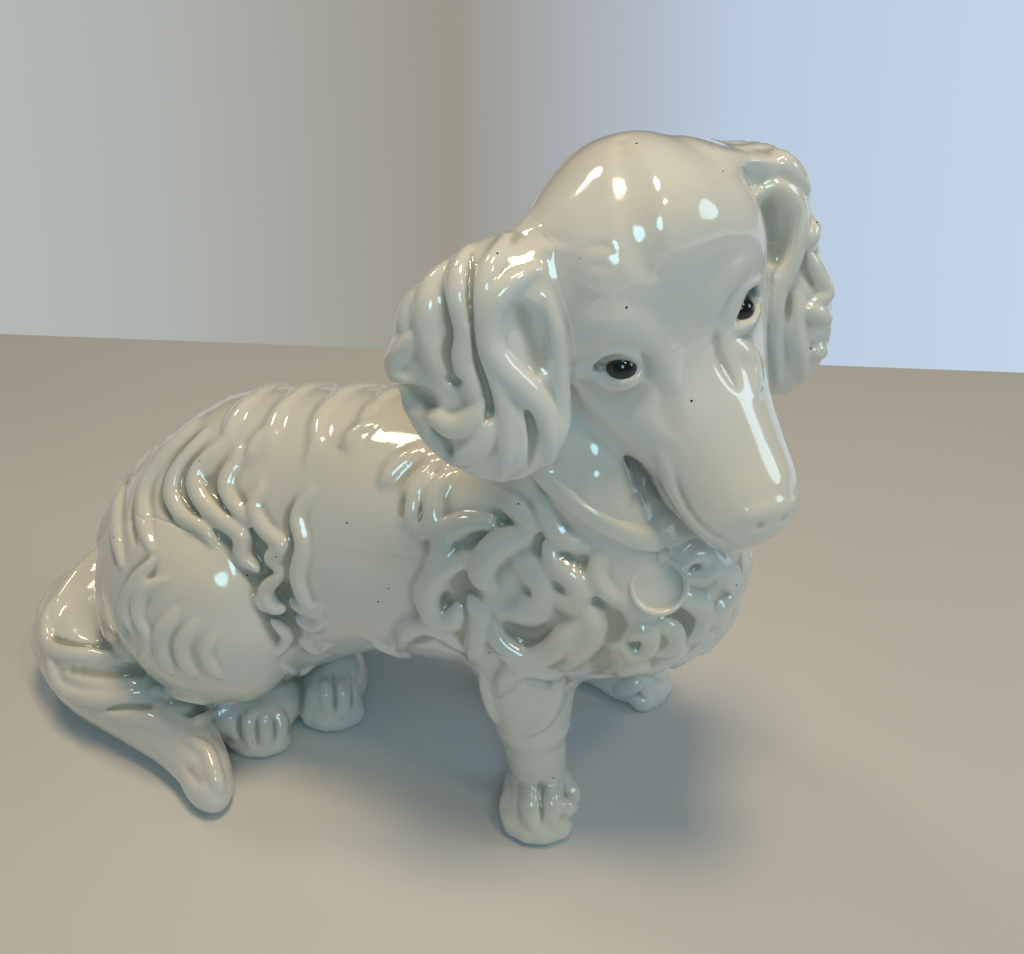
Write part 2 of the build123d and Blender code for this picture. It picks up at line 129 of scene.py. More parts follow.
# Head: its frame, and sections from nape to nose: along, above the axis, half width, half depth
HEAD_LENGTH = 152.0
HEAD_WIDTH = 77.0
HEAD_DEPTH = 82.0
HEAD_TURN = -24.0
HEAD_NOD = 42.0
HEAD_TILT = 17.0
HEAD_MIDDLE = np.array([9.5, -12.5, 275.0])
SKULL_MIDDLE_SHARE = 0.263
HEAD_SHARES = [
    (0.015, 0.04, 0.05, 0.05),
    (0.030, 0.04, 0.17, 0.16),
    (0.075, 0.04, 0.32, 0.29),
    (0.160, 0.04, 0.43, 0.40),
    (0.270, 0.03, 0.49, 0.455),
    (0.380, -0.03, 0.52, 0.43),
    (0.490, -0.14, 0.53, 0.28),
    (0.590, -0.215, 0.445, 0.24),
    (0.700, -0.27, 0.35, 0.24),
    (0.810, -0.31, 0.315, 0.228),
    (0.905, -0.33, 0.285, 0.215),
    (0.965, -0.335, 0.22, 0.165),
    (0.992, -0.335, 0.14, 0.105),
    (1.000, -0.335, 0.06, 0.05),
]
EYE_RADIUS = 5.4
RIGHT_EYE_PLACE = (36.0, -28.0, 1.2)
LEFT_EYE_PLACE = (36.5, 21.5, 2.0)
BEAD_PLACE = (35.72, -25.41, 1.23)  # middle of the right CAD bead, which places the stance
EYE_GAZE = (0.25, 0.50, 0.83)
EYE_CORNER = (0.42, -0.91, 0.0)
EYE_OPENING = math.radians(38.0)  # half the angle between the lids
EYE_EDGE = 0.8
LID_RADIUS = 6.8

# Swells of the face, in the head's frame and on its left side: ahead, aside and above
CHEEK_PLACE = (8, 25, -18)
CHEEK_RADII = (22, 10, 15)
TEMPLE_PLACE = (2, 26, 3)
TEMPLE_RADII = (26, 15, 24)
LIP_LINE = [(36, 17, -27), (58, 15.5, -31), (82, 15.5, -35.5), (100, 8, -33)]
LIP_RADII = (6, 6, 6.5, 6)
CHIN_LINE = [(36, 0, -29), (84, 0, -38)]
CHIN_RADII = (8, 8)
# Room for the muzzle above the chest and in front of the neck
THROAT_LINE = [(36, 0, -29), (62, 0, -28), (92, 0, -29), (124, 0, -29)]
THROAT_RADII = (30, 29, 29, 29)

# Neck from the shoulders into the skull, the parting under the collar, and the collar itself
NECK_FOOT = np.array([4.96, -1.18, 133.62])
NECK_TOP = np.array([6.44, -9.04, 270.3])
NECK_LEAN = np.array([-12.0, 9.0, 0.0])
PARTING_SHARE = 0.41
# Share of the way up, share of the lean and radius of each stage of the neck
NECK_STAGES = [
    (0.00, 0.0, 49.0),
    (PARTING_SHARE, 0.0, 46.5),
    (0.60, 0.6, 36.0),
    (0.80, 1.0, 27.0),
    (1.00, 1.0, 12.0),
]
NECK_STEPS = 8
COLLAR_WIDTH = 8.0
COLLAR_THICKNESS = 3.0
COLLAR_EDGE = 2.0
COLLAR_SLOPE = 27.0

# Ears: sections from root to tip, ahead, left and up from the root, half width and half thickness
EAR_LENGTH = 78.0
EAR_WIDTH = 70.0
EAR_THICKNESS = 22.0
EAR_ROOT_SHARES = (-0.07, 0.42, 0.20)
RIGHT_EAR_SHARES = [
    (-0.08, 0.00, 0.02, 0.08, 0.20),
    (-0.15, -0.12, -0.04, 0.20, 0.44),
    (-0.19, -0.20, -0.16, 0.31, 0.54),
    (-0.22, -0.24, -0.34, 0.42, 0.54),
    (-0.21, -0.29, -0.62, 0.42, 0.50),
    (-0.13, -0.33, -0.88, 0.34, 0.40),
    (-0.09, -0.35, -1.02, 0.14, 0.18),
]
LEFT_EAR_SHARES = [
    (0.00, 0.00, 0.06, 0.14, 0.40),
    (0.16, 0.20, -0.03, 0.20, 0.48),
    (0.26, 0.25, -0.38, 0.24, 0.50),
    (0.35, 0.26, -0.76, 0.28, 0.48),
    (0.37, 0.26, -1.04, 0.22, 0.38),
    (0.38, 0.27, -1.18, 0.09, 0.18),
]
RIGHT_EAR_SPREAD = 21.0
LEFT_EAR_SPREAD = 25.0

# Legs, paws and tail
SHOULDER_PLACE = (-5.0, 35.0, 108.0)
SHOULDER_SHIFT = 17.0  # how much further back the right one is
RIGHT_WRIST = (-13.0, -35.0)
LEFT_WRIST = (-5.0, 58.0)
RIGHT_PAW_TURN = -70.0
LEFT_PAW_TURN = -5.0
LEFT_PASTERN = [(-30, 54, 11), (-5, 58, 12)]
PASTERN_RADII = (10, 12)
LEG_RADII = (22.0, 16.0, 12.0)
FRINGE_SHARE = 0.52
FRINGE_RADII = (27.0, 17.5)
PAW_SIZE = (40.0, 35.0, 30.0)
PAW_FLAT = 3.0
TOE_COUNT = 4
TOE_RADIUS = 7.0
TOE_FAN = 28.0
TOE_SINK = 1.0
KNUCKLE_REACH = 0.22  # as a share of the paw's width
KNUCKLE_RISE = 0.7  # as shares of the toe's radius
KNUCKLE_SWELL = 1.05
HIND_PAW_LENGTH = 54.0
RIGHT_HIND_PAW = (0.722, -0.36)  # behind the chest front and to the left, as on the trunk
LEFT_HIND_PAW = (0.650, -0.11)
RIGHT_HIND_TURN = -69.0
LEFT_HIND_TURN = -61.0
SHANK_RADIUS = 16.0
THIGH_LENGTH = 100.0
THIGH_WIDTH = 70.0
RIGHT_THIGH = (0.765, -0.50)
LEFT_THIGH = (0.785, 0.18)
RIGHT_THIGH_RISE = 84.0
LEFT_THIGH_RISE = 42.0
RIGHT_THIGH_HEIGHT = 106.0
LEFT_THIGH_HEIGHT = 92.0
TAIL_WIDTH = 42.0
TAIL_HEIGHT = 52.0
TAIL_SHARES = [
    (0.930, 0.04, 0.98, 0.38),
    (1.020, -0.07, 0.86, 0.44),
    (1.075, -0.27, 0.70, 0.49),
    (1.075, -0.48, 0.56, 0.51),
    (1.000, -0.61, 0.48, 0.49),
    (0.890, -0.655, 0.40, 0.45),
    (0.800, -0.70, 0.33, 0.39),
    (0.735, -0.77, 0.27, 0.32),
    (0.700, -0.835, 0.22, 0.27),
    (0.684, -0.865, 0.19, 0.19),
]
TAIL_STEPS = 4

# Widths over which forms flow into what is there already
TRUNK_BLEND = 6
NECK_BLEND = 14
THROAT_BLEND = 20
SKULL_BLEND = 10
CHEEK_BLEND = 12
LID_BLEND = 4
LIP_BLEND = 6
EAR_BLEND = 9
LEG_BLEND = 8
TOE_BLEND = 3
PASTERN_BLEND = 6
LOW_THIGH_BLEND = 14
TAIL_BLEND = 5
RIDGE_BLEND = 1.6


def heading(angle):
    turn = math.radians(angle)
    return np.array([math.cos(turn), math.sin(turn), 0.0])


def unit(vector):
    return np.asarray(vector, float) / np.linalg.norm(vector)


def measures(places, origin, axes):
    # How far places lie from an origin along each axis
    offsets = [place - start for place, start in zip(places, origin)]
    return [sum(offset * part for offset, part in zip(offsets, axis)) for axis in axes]


def smooth_curve(points, steps):
    # Points along a curve that passes through the given ones
    points = np.asarray(points, float)
    ends = [2 * points[0] - points[1]], [2 * points[-1] - points[-2]]
    knots = np.vstack([ends[0], points, ends[1]])
    made = []
    for before, start, end, after in zip(knots, knots[1:], knots[2:], knots[3:]):
        for t in np.arange(steps) / steps:
            bend = 2 * before - 5 * start + 4 * end - after
            twist = 3 * start - before - 3 * end + after
            made.append(start + 0.5 * (t * (end - before) + t * t * bend + t ** 3 * twist))
    return np.array(made + [points[-1]])


def smooth_min(a, b, blend):
    overlap = np.maximum(blend - np.abs(a - b), 0) / blend
    return np.minimum(a, b) - overlap * overlap * blend / 4


def smooth_max(a, b, blend):
    return -smooth_min(-a, -b, blend)


def softened(field, passes):
    # Each pass averages every voxel with its neighbours along the three axes
    for _ in range(passes):
        for axis in range(3):
            inner = np.moveaxis(field, axis, 0)
            made = inner.copy()
            made[1:-1] = (inner[:-2] + 2 * inner[1:-1] + inner[2:]) / 4
            field = np.moveaxis(made, 0, axis)
    return field


def sampled(field, places):
    # Values of a field of voxels at fractional index places
    places = np.clip(places, 0, np.array(field.shape) - 1 - EDGE_SHARE)
    base = places.astype(int)
    part = places - base
    total = 0
    for corner in np.ndindex(2, 2, 2):
        weight = np.prod(np.where(corner, part, 1 - part), axis=1)
        i, j, k = (base + corner).T
        total = total + weight * field[i, j, k]
    return total


class Clay:
    # A box of voxels over part of the figure
    def __init__(self, low, high, voxel):
        self.voxel = voxel
        self.low = np.asarray(low, float)
        counts = np.ceil((np.asarray(high) - self.low) / voxel).astype(int) + 1
        self.axes = [
            (start + voxel * np.arange(count)).astype(np.float32)
            for start, count in zip(self.low, counts)
        ]
        self.shape = tuple(counts)

    def empty(self):
        return np.full(self.shape, FAR, np.float32)

    def window(self, low, high):
        # The voxels between two corners, or None
        first = np.floor((np.asarray(low) - self.low) / self.voxel).astype(int)
        last = np.ceil((np.asarray(high) - self.low) / self.voxel).astype(int) + 1
        first = np.maximum(first, 0)
        last = np.minimum(last, self.shape)
        if np.any(last - first < 2):
            return None
        return tuple(slice(a, b) for a, b in zip(first, last))

    def places(self, window):
        return np.ix_(*[axis[part] for axis, part in zip(self.axes, window)])

    def everywhere(self):
        return np.ix_(*self.axes)

    def add(self, field, form, blend):
        # Blends a form into a field
        window = self.window(form.low - FORM_REACH - blend, form.high + FORM_REACH + blend)
        if window:
            distance = form.distance(self.places(window), self.voxel)
            field[window] = smooth_min(field[window], distance, blend)

    def lay(self, field, points, radii):
        # Lays a tapering rod along points, without blending
        for start, end, thick, thin in zip(points, points[1:], radii, radii[1:]):
            reach = max(thick, thin) + ROD_MARGIN * self.voxel
            window = self.window(np.minimum(start, end) - reach, np.maximum(start, end) + reach)
            if window:
                distance = rod_distance(self.places(window), start, end, thick, thin)
                np.minimum(field[window], distance, out=field[window])

    def dent(self, depths, points, half_width, depth):
        # Presses a rounded furrow along points, deepest at the line and gone at its half width
        taper = stroke_taper(len(points))
        for start, end, share in zip(points, points[1:], taper):
            reach = half_width * share
            window = self.window(np.minimum(start, end) - reach, np.maximum(start, end) + reach)
            if window:
                distance = rod_distance(self.places(window), start, end, 0, 0)
                pressed = depth * share * np.maximum(1 - (distance / reach) ** 2, 0) ** 2
                np.maximum(depths[window], pressed, out=depths[window])


def stroke_taper(count):
    # Strokes are fullest at their middle and thin out towards both ends
    return 1 - STROKE_TAPER * np.abs(np.linspace(-1, 1, count)) ** 3


def rod_distance(places, start, end, thick, thin):
    along = end - start
    offsets = [place - origin for place, origin in zip(places, start)]
    t = sum(offset * step for offset, step in zip(offsets, along)) / max(along @ along, TINY)
    t = np.clip(t, 0, 1)
    square = sum((offset - t * step) ** 2 for offset, step in zip(offsets, along))
    return (np.sqrt(square) - (thick + t * (thin - thick))).astype(np.float32)


class Ball:
    # An ellipsoid on given axes
    def __init__(self, middle, radii, axes=np.eye(3)):
        self.middle = np.asarray(middle, float)
        self.radii = np.asarray(radii, float)
        self.axes = np.asarray(axes, float)
        spread = np.sqrt(((self.axes * self.radii[:, None]) ** 2).sum(axis=0))
        self.low = self.middle - spread
        self.high = self.middle + spread

    def distance(self, places, voxel):
        scaled = measures(places, self.middle, self.axes)
        size = np.sqrt(sum((s / r) ** 2 for s, r in zip(scaled, self.radii)))
        slope = np.sqrt(sum((s / (r * r)) ** 2 for s, r in zip(scaled, self.radii)))
        return (size * (size - 1) / np.maximum(slope, TINY)).astype(np.float32)


class Rod:
    # A tapering rod along a chain of points, with its height stretched
    def __init__(self, points, radii, stretch=1.0):
        self.points = np.asarray(points, float)
        self.radii = np.asarray(radii, float)
        self.stretch = stretch
        spread = self.radii.max() * np.array([1, 1, stretch])
        self.low = self.points.min(axis=0) - spread
        self.high = self.points.max(axis=0) + spread

    def distance(self, places, voxel):
        squashed = places[0], places[1], places[2] / np.float32(self.stretch)
        points = self.points / np.array([1, 1, self.stretch])
        return np.minimum.reduce([
            rod_distance(squashed, start, end, thick, thin)
            for start, end, thick, thin in zip(points, points[1:], self.radii, self.radii[1:])
        ])


class Loft:
    # Elliptical sections along an axis: place along it, middle across and up, half width, half depth
    def __init__(self, origin, axes, rows):
        self.origin = np.asarray(origin, float)
        self.axes = np.asarray(axes, float)
        self.rows = smooth_curve(rows, SECTION_STEPS)
        if self.rows[0, 0] > self.rows[-1, 0]:
            self.rows = self.rows[::-1]
        self.rows[:, 3:] = np.maximum(self.rows[:, 3:], THINNEST_SECTION)
        corners = []
        for along, across, up, wide, deep in self.rows:
            for sign in np.ndindex(2, 2):
                edge = across + (2 * sign[0] - 1) * wide, up + (2 * sign[1] - 1) * deep
                corners.append(self.origin + np.array([along, *edge]) @ self.axes)
        self.low = np.min(corners, axis=0)
        self.high = np.max(corners, axis=0)

    def distance(self, places, voxel):
        along, across, up = [
            measure.astype(np.float32) for measure in measures(places, self.origin, self.axes)
        ]
        sides, tops, wides, deeps = [
            np.interp(along, self.rows[:, 0], column).astype(np.float32)
            for column in self.rows[:, 1:].T
        ]
        across = across - sides
        up = up - tops
        size = np.sqrt((across / wides) ** 2 + (up / deeps) ** 2)
        slope = np.sqrt((across / wides ** 2) ** 2 + (up / deeps ** 2) ** 2)
        distance = size * (size - 1) / np.maximum(slope, TINY)
        distance = np.maximum(distance, -np.minimum(wides, deeps))
        beyond = np.maximum(self.rows[0, 0] - along, along - self.rows[-1, 0])
        capped = np.hypot(np.maximum(distance, 0), beyond)
        distance = np.where(beyond > 0, capped, distance).astype(np.float32)
        steepness = np.sqrt(sum(g * g for g in np.gradient(distance, voxel)))
        return distance / np.clip(steepness, *STEEPNESS_RANGE)


class Hollowed:
    # A form with another cut away from it
    def __init__(self, form, tool, blend):
        self.form = form
        self.tool = tool
        self.blend = blend
        self.low, self.high = form.low, form.high

    def distance(self, places, voxel):
        cut = -self.tool.distance(places, voxel)
        return smooth_max(self.form.distance(places, voxel), cut, self.blend)


def trunk_place(behind, aside, height):
    return np.array([CHEST_REACH - behind * BODY_LENGTH, aside * BODY_WIDTH, height])


def trunk():
    rows = [
        (CHEST_REACH - behind * BODY_LENGTH, aside * BODY_WIDTH, rise * CHEST_HEIGHT,
         wide * BODY_WIDTH, deep * BODY_DEPTH)
        for behind, aside, rise, wide, deep in TRUNK_SHARES
    ]
    return Loft((0, 0, 0), np.eye(3), rows)


def head_axes():
    nod = math.radians(HEAD_NOD)
    tilt = math.radians(HEAD_TILT)
    nose = heading(HEAD_TURN) * math.cos(nod) - UP * math.sin(nod)
    crown = unit(UP - nose * nose[2])
    side = np.cross(crown, nose)
    crown, side = (
        crown * math.cos(tilt) + np.cross(nose, crown) * math.sin(tilt),
        side * math.cos(tilt) + np.cross(nose, side) * math.sin(tilt),
    )
    return np.array([nose, side, crown])


HEAD_AXES = head_axes()


def head_point(ahead, aside, above):
    return HEAD_MIDDLE + np.array([ahead, aside, above]) @ HEAD_AXES


def skull():
    rows = [
        ((along - SKULL_MIDDLE_SHARE) * HEAD_LENGTH, 0, above * HEAD_DEPTH,
         wide * HEAD_WIDTH, deep * HEAD_DEPTH)
        for along, above, wide, deep in HEAD_SHARES
    ]
    return Loft(HEAD_MIDDLE, HEAD_AXES, rows)


def eye_middle(side):
    return head_point(*(RIGHT_EYE_PLACE if side < 0 else LEFT_EYE_PLACE))


def head_line(places, side=1):
    return [head_point(ahead, side * aside, above) for ahead, aside, above in places]


def neck():
    stages = smooth_curve(NECK_STAGES, NECK_STEPS)
    points = [
        NECK_FOOT + share * (NECK_TOP - NECK_FOOT) + lean * NECK_LEAN
        for share, lean in stages[:, :2]
    ]
    throat = Rod(head_line(THROAT_LINE), THROAT_RADII)
    return Hollowed(Rod(points, stages[:, 2]), throat, THROAT_BLEND)


def ear_root(side):
    along, aside, above = EAR_ROOT_SHARES
    return head_point(along * HEAD_LENGTH, side * aside * HEAD_WIDTH, above * HEAD_DEPTH)


def ear(side, table, spread):
    wide = heading(spread)
    deep = heading(spread + 90)
    rows = []
    for ahead, left, up, half_width, half_depth in table:
        offset = np.array([ahead, left, up]) * EAR_LENGTH
        rows.append((offset[2], offset @ wide, offset @ deep, half_width * EAR_WIDTH,
                     half_depth * EAR_THICKNESS))
    return Loft(ear_root(side), [UP, wide, deep], rows)


def foreleg(side, wrist):
    # The hair of the upper leg ends in a fringe, and the bare leg comes out of it
    top = np.array(SHOULDER_PLACE) * (1, side, 1) - (SHOULDER_SHIFT if side < 0 else 0, 0, 0)
    fringe = top + FRINGE_SHARE * (wrist - top)
    return [Rod([top, fringe], FRINGE_RADII), Rod([top, (top + wrist) / 2, wrist], LEG_RADII)]


def paw(middle, angle, length):
    # A pad with toes that stand apart
    ahead = heading(angle)
    axes = np.array([ahead, heading(angle + 90), UP])
    forms = [Ball(middle, (length / 2, PAW_SIZE[1] / 2, PAW_SIZE[2] / 2), axes)]
    front = middle + ahead * (length - PAW_SIZE[1]) / 2
    for number in range(TOE_COUNT):
        outward = heading(angle + (number - (TOE_COUNT - 1) / 2) * TOE_FAN)
        knuckle = front + outward * PAW_SIZE[1] * KNUCKLE_REACH + UP * TOE_RADIUS * KNUCKLE_RISE
        tip = front + outward * (PAW_SIZE[1] - TOE_RADIUS) / 2
        tip[2] = TOE_RADIUS - TOE_SINK
        forms.append(Rod([knuckle, tip], (TOE_RADIUS * KNUCKLE_SWELL, TOE_RADIUS)))
    return forms


def thigh(shares, rise, height):
    return Ball(trunk_place(*shares, rise), (THIGH_LENGTH / 2, THIGH_WIDTH / 2, height / 2))


def tail_line():
    # Points along the middle of the tail, and its half width at each
    rows = smooth_curve(TAIL_SHARES, TAIL_STEPS)
    points = [trunk_place(behind, aside, rise * TAIL_HEIGHT) for behind, aside, rise in rows[:, :3]]
    return np.array(points), rows[:, 3] * TAIL_WIDTH


def tail():
    return Rod(*tail_line(), TAIL_HEIGHT / TAIL_WIDTH)


def hind_foot(paw_shares, thigh_shares, angle):
    middle = trunk_place(*paw_shares, PAW_SIZE[2] / 2 - PAW_FLAT)
    hock = trunk_place(*thigh_shares, SHANK_RADIUS)
    forms = [Rod([hock, middle], (SHANK_RADIUS, SHANK_RADIUS))] + paw(middle, angle, HIND_PAW_LENGTH)
    return [(form, TOE_BLEND) for form in forms]


def forefoot(side, wrist_place, angle):
    wrist = np.array([*wrist_place, PAW_SIZE[2] / 2 - PAW_FLAT])
    forms = foreleg(side, wrist) + paw(wrist + heading(angle) * PAW_FLAT, angle, PAW_SIZE[0])
    return [(forms[0], LEG_BLEND)] + [(form, TOE_BLEND) for form in forms[1:]]


def head_ball(place, radii, side):
    return Ball(head_line([place], side)[0], radii, HEAD_AXES)


def face_forms():
    forms = []
    for side in (-1, 1):
        forms += [
            (head_ball(CHEEK_PLACE, CHEEK_RADII, side), CHEEK_BLEND),
            (Ball(eye_middle(side), [LID_RADIUS] * 3, HEAD_AXES), LID_BLEND),
            (Rod(head_line(LIP_LINE, side), LIP_RADII), LIP_BLEND),
            (head_ball(TEMPLE_PLACE, TEMPLE_RADII, side), CHEEK_BLEND),
        ]
    forms.append((Rod(head_line(CHIN_LINE), CHIN_RADII), LIP_BLEND))
    return forms


# Each piece's forms, with the blend that joins each to what is there already
FORMS = {
    "body_shell": [(trunk(), TRUNK_BLEND), (neck(), NECK_BLEND)],
    "head_shell": [(skull(), SKULL_BLEND)] + face_forms(),
    "ear_right": [(ear(-1, RIGHT_EAR_SHARES, RIGHT_EAR_SPREAD), EAR_BLEND)],
    "ear_left": [(ear(1, LEFT_EAR_SHARES, LEFT_EAR_SPREAD), EAR_BLEND)],
    "foreleg_right": forefoot(-1, RIGHT_WRIST, RIGHT_PAW_TURN),
    "foreleg_left": forefoot(1, LEFT_WRIST, LEFT_PAW_TURN)
                    + [(Rod(LEFT_PASTERN, PASTERN_RADII), PASTERN_BLEND)],
    "thigh_right": [(thigh(RIGHT_THIGH, RIGHT_THIGH_RISE, RIGHT_THIGH_HEIGHT), LEG_BLEND)],
    "thigh_left": [(thigh(LEFT_THIGH, LEFT_THIGH_RISE, LEFT_THIGH_HEIGHT), LOW_THIGH_BLEND)],
    "hind_foot_right": hind_foot(RIGHT_HIND_PAW, RIGHT_THIGH, RIGHT_HIND_TURN),
    "hind_foot_left": hind_foot(LEFT_HIND_PAW, LEFT_THIGH, LEFT_HIND_TURN),
    "tail": [(tail(), TAIL_BLEND)],
}

# Size of each piece's voxels
VOXELS = {"body_shell": 1.3, "head_shell": 0.9, "tail": 1.1}
USUAL_VOXEL = 0.9


class Halved:
    # The part of a form behind a plane
    def __init__(self, form, place, normal):
        self.form = form
        self.place = place
        self.normal = normal
        self.low, self.high = form.low, form.high

    def distance(self, places, voxel):
        beyond = measures(places, self.place, [self.normal])[0]
        return np.maximum(self.form.distance(places, voxel), beyond).astype(np.float32)


PARTING = NECK_FOOT + PARTING_SHARE * (NECK_TOP - NECK_FOOT)
SLOPE = math.radians(COLLAR_SLOPE)
PARTING_UP = np.array([math.sin(SLOPE), 0, math.cos(SLOPE)])
# What each piece owns of the joined forms: the neck is parted under the collar
CELLS = {name: [form for form, blend in forms] for name, forms in FORMS.items()}
CELLS["body_shell"][1] = Halved(neck(), PARTING, PARTING_UP)
CELLS["head_shell"].append(Halved(neck(), PARTING, -PARTING_UP))


def joined_forms(clay):
    field = clay.empty()
    for forms in FORMS.values():
        for form, blend in forms:
            clay.add(field, form, blend)
    return field


def owned_forms(clay, name):
    # How much nearer the neighbours are than the piece's own forms
    mine = clay.empty()
    others = clay.empty()
    for owner, forms in CELLS.items():
        field = mine if owner == name else others
        for form in forms:
            window = clay.window(form.low - FORM_REACH, form.high + FORM_REACH)
            if window:
                distance = form.distance(clay.places(window), clay.voxel)
                np.minimum(field[window], distance, out=field[window])
    return mine - others


class Skin:
    # The bare forms, coarsely, to lay strokes on
    def __init__(self, low, high):
        self.clay = Clay(low, high, SNAP_VOXEL)
        self.field = joined_forms(self.clay)
        self.slopes = np.gradient(self.field, SNAP_VOXEL)

    def index(self, points):
        return (points - self.clay.low) / SNAP_VOXEL

    def height(self, points):
        return sampled(self.field, self.index(points))

    def normal(self, points):
        slope = np.stack([sampled(s, self.index(points)) for s in self.slopes], axis=1)
        return slope / np.maximum(np.linalg.norm(slope, axis=1, keepdims=True), TINY)

    def snapped(self, points):
        for _ in range(SNAP_STEPS):
            points = points - SNAP_SHARE * self.height(points)[:, None] * self.normal(points)
        return points

    def under_pixels(self, pixels):
        # Where the lines of sight through pixels of the photograph meet the skin
        aside = (pixels[:, 0] - PHOTO_SIZE[0] / 2) / FOCAL_PIXELS
        above = (PHOTO_SIZE[1] / 2 - pixels[:, 1]) / FOCAL_PIXELS
        sight = CAMERA_AHEAD + aside[:, None] * CAMERA_RIGHT + above[:, None] * CAMERA_UP
        sight = sight / np.linalg.norm(sight, axis=1, keepdims=True)
        return self.reached(np.array(CAMERA_PLACE) + sight * NEAREST_SIGHT, sight)

    def reached(self, points, sight):
        # Where lines from points meet the skin
        for _ in range(SIGHT_STEPS):
            step = np.clip(self.height(points), -SIGHT_BACK, FAR)
            points = points + sight * step[:, None] * SIGHT_SHARE
        return points


STROKE_STEPS = 5
STROKE_TAPER = 0.6
LONGEST_STEP = 14.0  # a stroke whose points lie further apart has left its form
SHORTEST_RUN = 3  # points of a stroke that are worth laying
BED_MARGIN = 2.5  # each ridge lies in a hollow this much wider on either side
BED_SHARE = 0.45  # and this deep, as a share of the ridge's height

# Strokes of the modelling tool, as pixels of the photograph, each with its half width and its height
# or depth in millimetres. Those on the trunk are laid on its hidden side as well, mirrored.
RUMP_RIDGES = [
    (5.0, 3.5, [(162, 440), (140, 466), (122, 493), (117, 530), (122, 566)]),
    (5.0, 3.8, [(196, 422), (165, 455), (146, 486), (144, 520), (150, 548)]),
    (5.0, 3.8, [(205, 432), (180, 466), (172, 492), (182, 514), (207, 530), (212, 543)]),
    (4.8, 3.8, [(222, 440), (197, 470), (198, 494), (218, 517), (240, 534), (242, 556), (258, 571)]),
    (4.5, 3.2, [(242, 452), (226, 480), (232, 503), (252, 525)]),
    (4.0, 2.7, [(279, 424), (259, 439), (247, 462)]),
    (3.5, 2.2, [(240, 446), (233, 468)]),
    (4.5, 3.5, [(262, 485), (254, 508), (266, 531), (282, 546), (271, 559), (285, 571)]),
    (4.0, 3.5, [(285, 571), (266, 590), (272, 606), (284, 610)]),
    (4.5, 3.2, [(312, 490), (297, 515), (302, 545), (297, 575), (306, 604), (318, 618)]),
    (4.0, 3.0, [(378, 421), (356, 433), (344, 447)]),
]
FLANK_RIDGES = [
    (4.5, 2.2, [(262, 392), (244, 404), (232, 422), (226, 440)]),
    (4.5, 2.2, [(302, 390), (286, 402), (274, 420), (270, 440), (258, 456)]),
    (4.5, 2.2, [(342, 392), (328, 404), (318, 422), (316, 444), (306, 462)]),
    (4.0, 2.0, [(380, 398), (368, 412), (362, 430), (350, 452)]),
    (4.5, 3.0, [(420, 448), (396, 466), (382, 486)]),
    (4.5, 3.5, [(432, 466), (415, 490), (412, 512), (405, 527)]),
    (5.0, 3.8, [(452, 472), (433, 494), (432, 520), (418, 535)]),
    (5.0, 4.1, [(492, 522), (463, 524), (444, 535), (440, 556), (428, 572)]),
    (4.0, 3.2, [(372, 640), (400, 652), (430, 662)]),
]
HAUNCH_RIDGES = [
    (4.0, 3.0, [(165, 580), (143, 592), (138, 614), (147, 636), (141, 660)]),
    (4.0, 3.0, [(152, 560), (133, 585), (125, 610), (133, 632)]),
    (4.5, 3.2, [(176, 612), (162, 634), (163, 655), (172, 673)]),
    (4.0, 3.0, [(196, 622), (182, 645), (186, 664), (196, 676)]),
    (3.5, 2.7, [(216, 634), (206, 652), (212, 668), (222, 678)]),
    (3.2, 2.7, [(270, 587), (262, 602), (278, 612)]),
    (3.2, 2.7, [(272, 620), (287, 637), (278, 655)]),
    (3.0, 2.4, [(295, 618), (312, 628), (328, 620)]),
    (3.0, 2.4, [(288, 600), (306, 611), (322, 604)]),
    (3.0, 2.4, [(300, 640), (316, 651), (330, 644)]),
    (3.0, 2.7, [(284, 664), (298, 672), (312, 666)]),
]
CHEST_RIDGES = [
    (4.5, 3.5, [(702, 556), (720, 570), (732, 590)]),
    (4.5, 3.5, [(676, 594), (696, 604), (710, 622)]),
    (6.0, 4.5, [(470, 556), (440, 572), (427, 596), (434, 615), (450, 622), (457, 609)]),
    (6.5, 4.5, [(528, 533), (503, 543), (486, 558), (481, 575), (490, 587)]),
    (5.5, 4.0, [(546, 545), (556, 566), (571, 577), (580, 591), (570, 603), (557, 594)]),
    (6.0, 5.0, [(492, 625), (503, 645), (526, 658), (552, 650), (566, 634), (577, 619)]),
    (5.5, 4.0, [(398, 650), (408, 633), (424, 625), (444, 632), (460, 648)]),
    (5.5, 4.0, [(498, 694), (512, 672), (530, 667), (558, 677)]),
    (7.0, 3.0, [(520, 560), (536, 575), (540, 596), (528, 612), (505, 612)]),
    (5.0, 3.0, [(470, 600), (480, 618), (476, 640), (470, 660)]),
    (6.0, 3.0, [(580, 604), (590, 622), (584, 645), (570, 668)]),
    (4.0, 3.0, [(602, 552), (596, 572), (604, 590), (620, 604)]),
    (4.0, 3.5, [(682, 566), (696, 555), (712, 560), (706, 575), (688, 578)]),
    (5.0, 4.0, [(722, 560), (735, 577), (728, 600), (717, 612), (719, 630), (711, 641)]),
    (4.5, 3.5, [(690, 596), (704, 606), (702, 626), (690, 643)]),
    (4.0, 3.5, [(628, 640), (645, 631), (650, 646), (636, 656), (622, 648)]),
    (4.0, 3.5, [(660, 622), (676, 632), (673, 647), (656, 655)]),
    (5.0, 4.0, [(620, 674), (634, 664), (643, 674), (632, 686), (617, 692)]),
    (5.0, 3.5, [(444, 662), (460, 678), (476, 694), (484, 716)]),
    (5.0, 3.0, [(540, 500), (548, 520), (560, 538), (584, 548)]),
    (5.0, 3.0, [(500, 500), (520, 512), (535, 530)]),
    (4.0, 2.5, [(482, 676), (488, 700), (496, 722)]),
    (4.5, 2.0, [(560, 684), (556, 702), (546, 720), (530, 734)]),
]
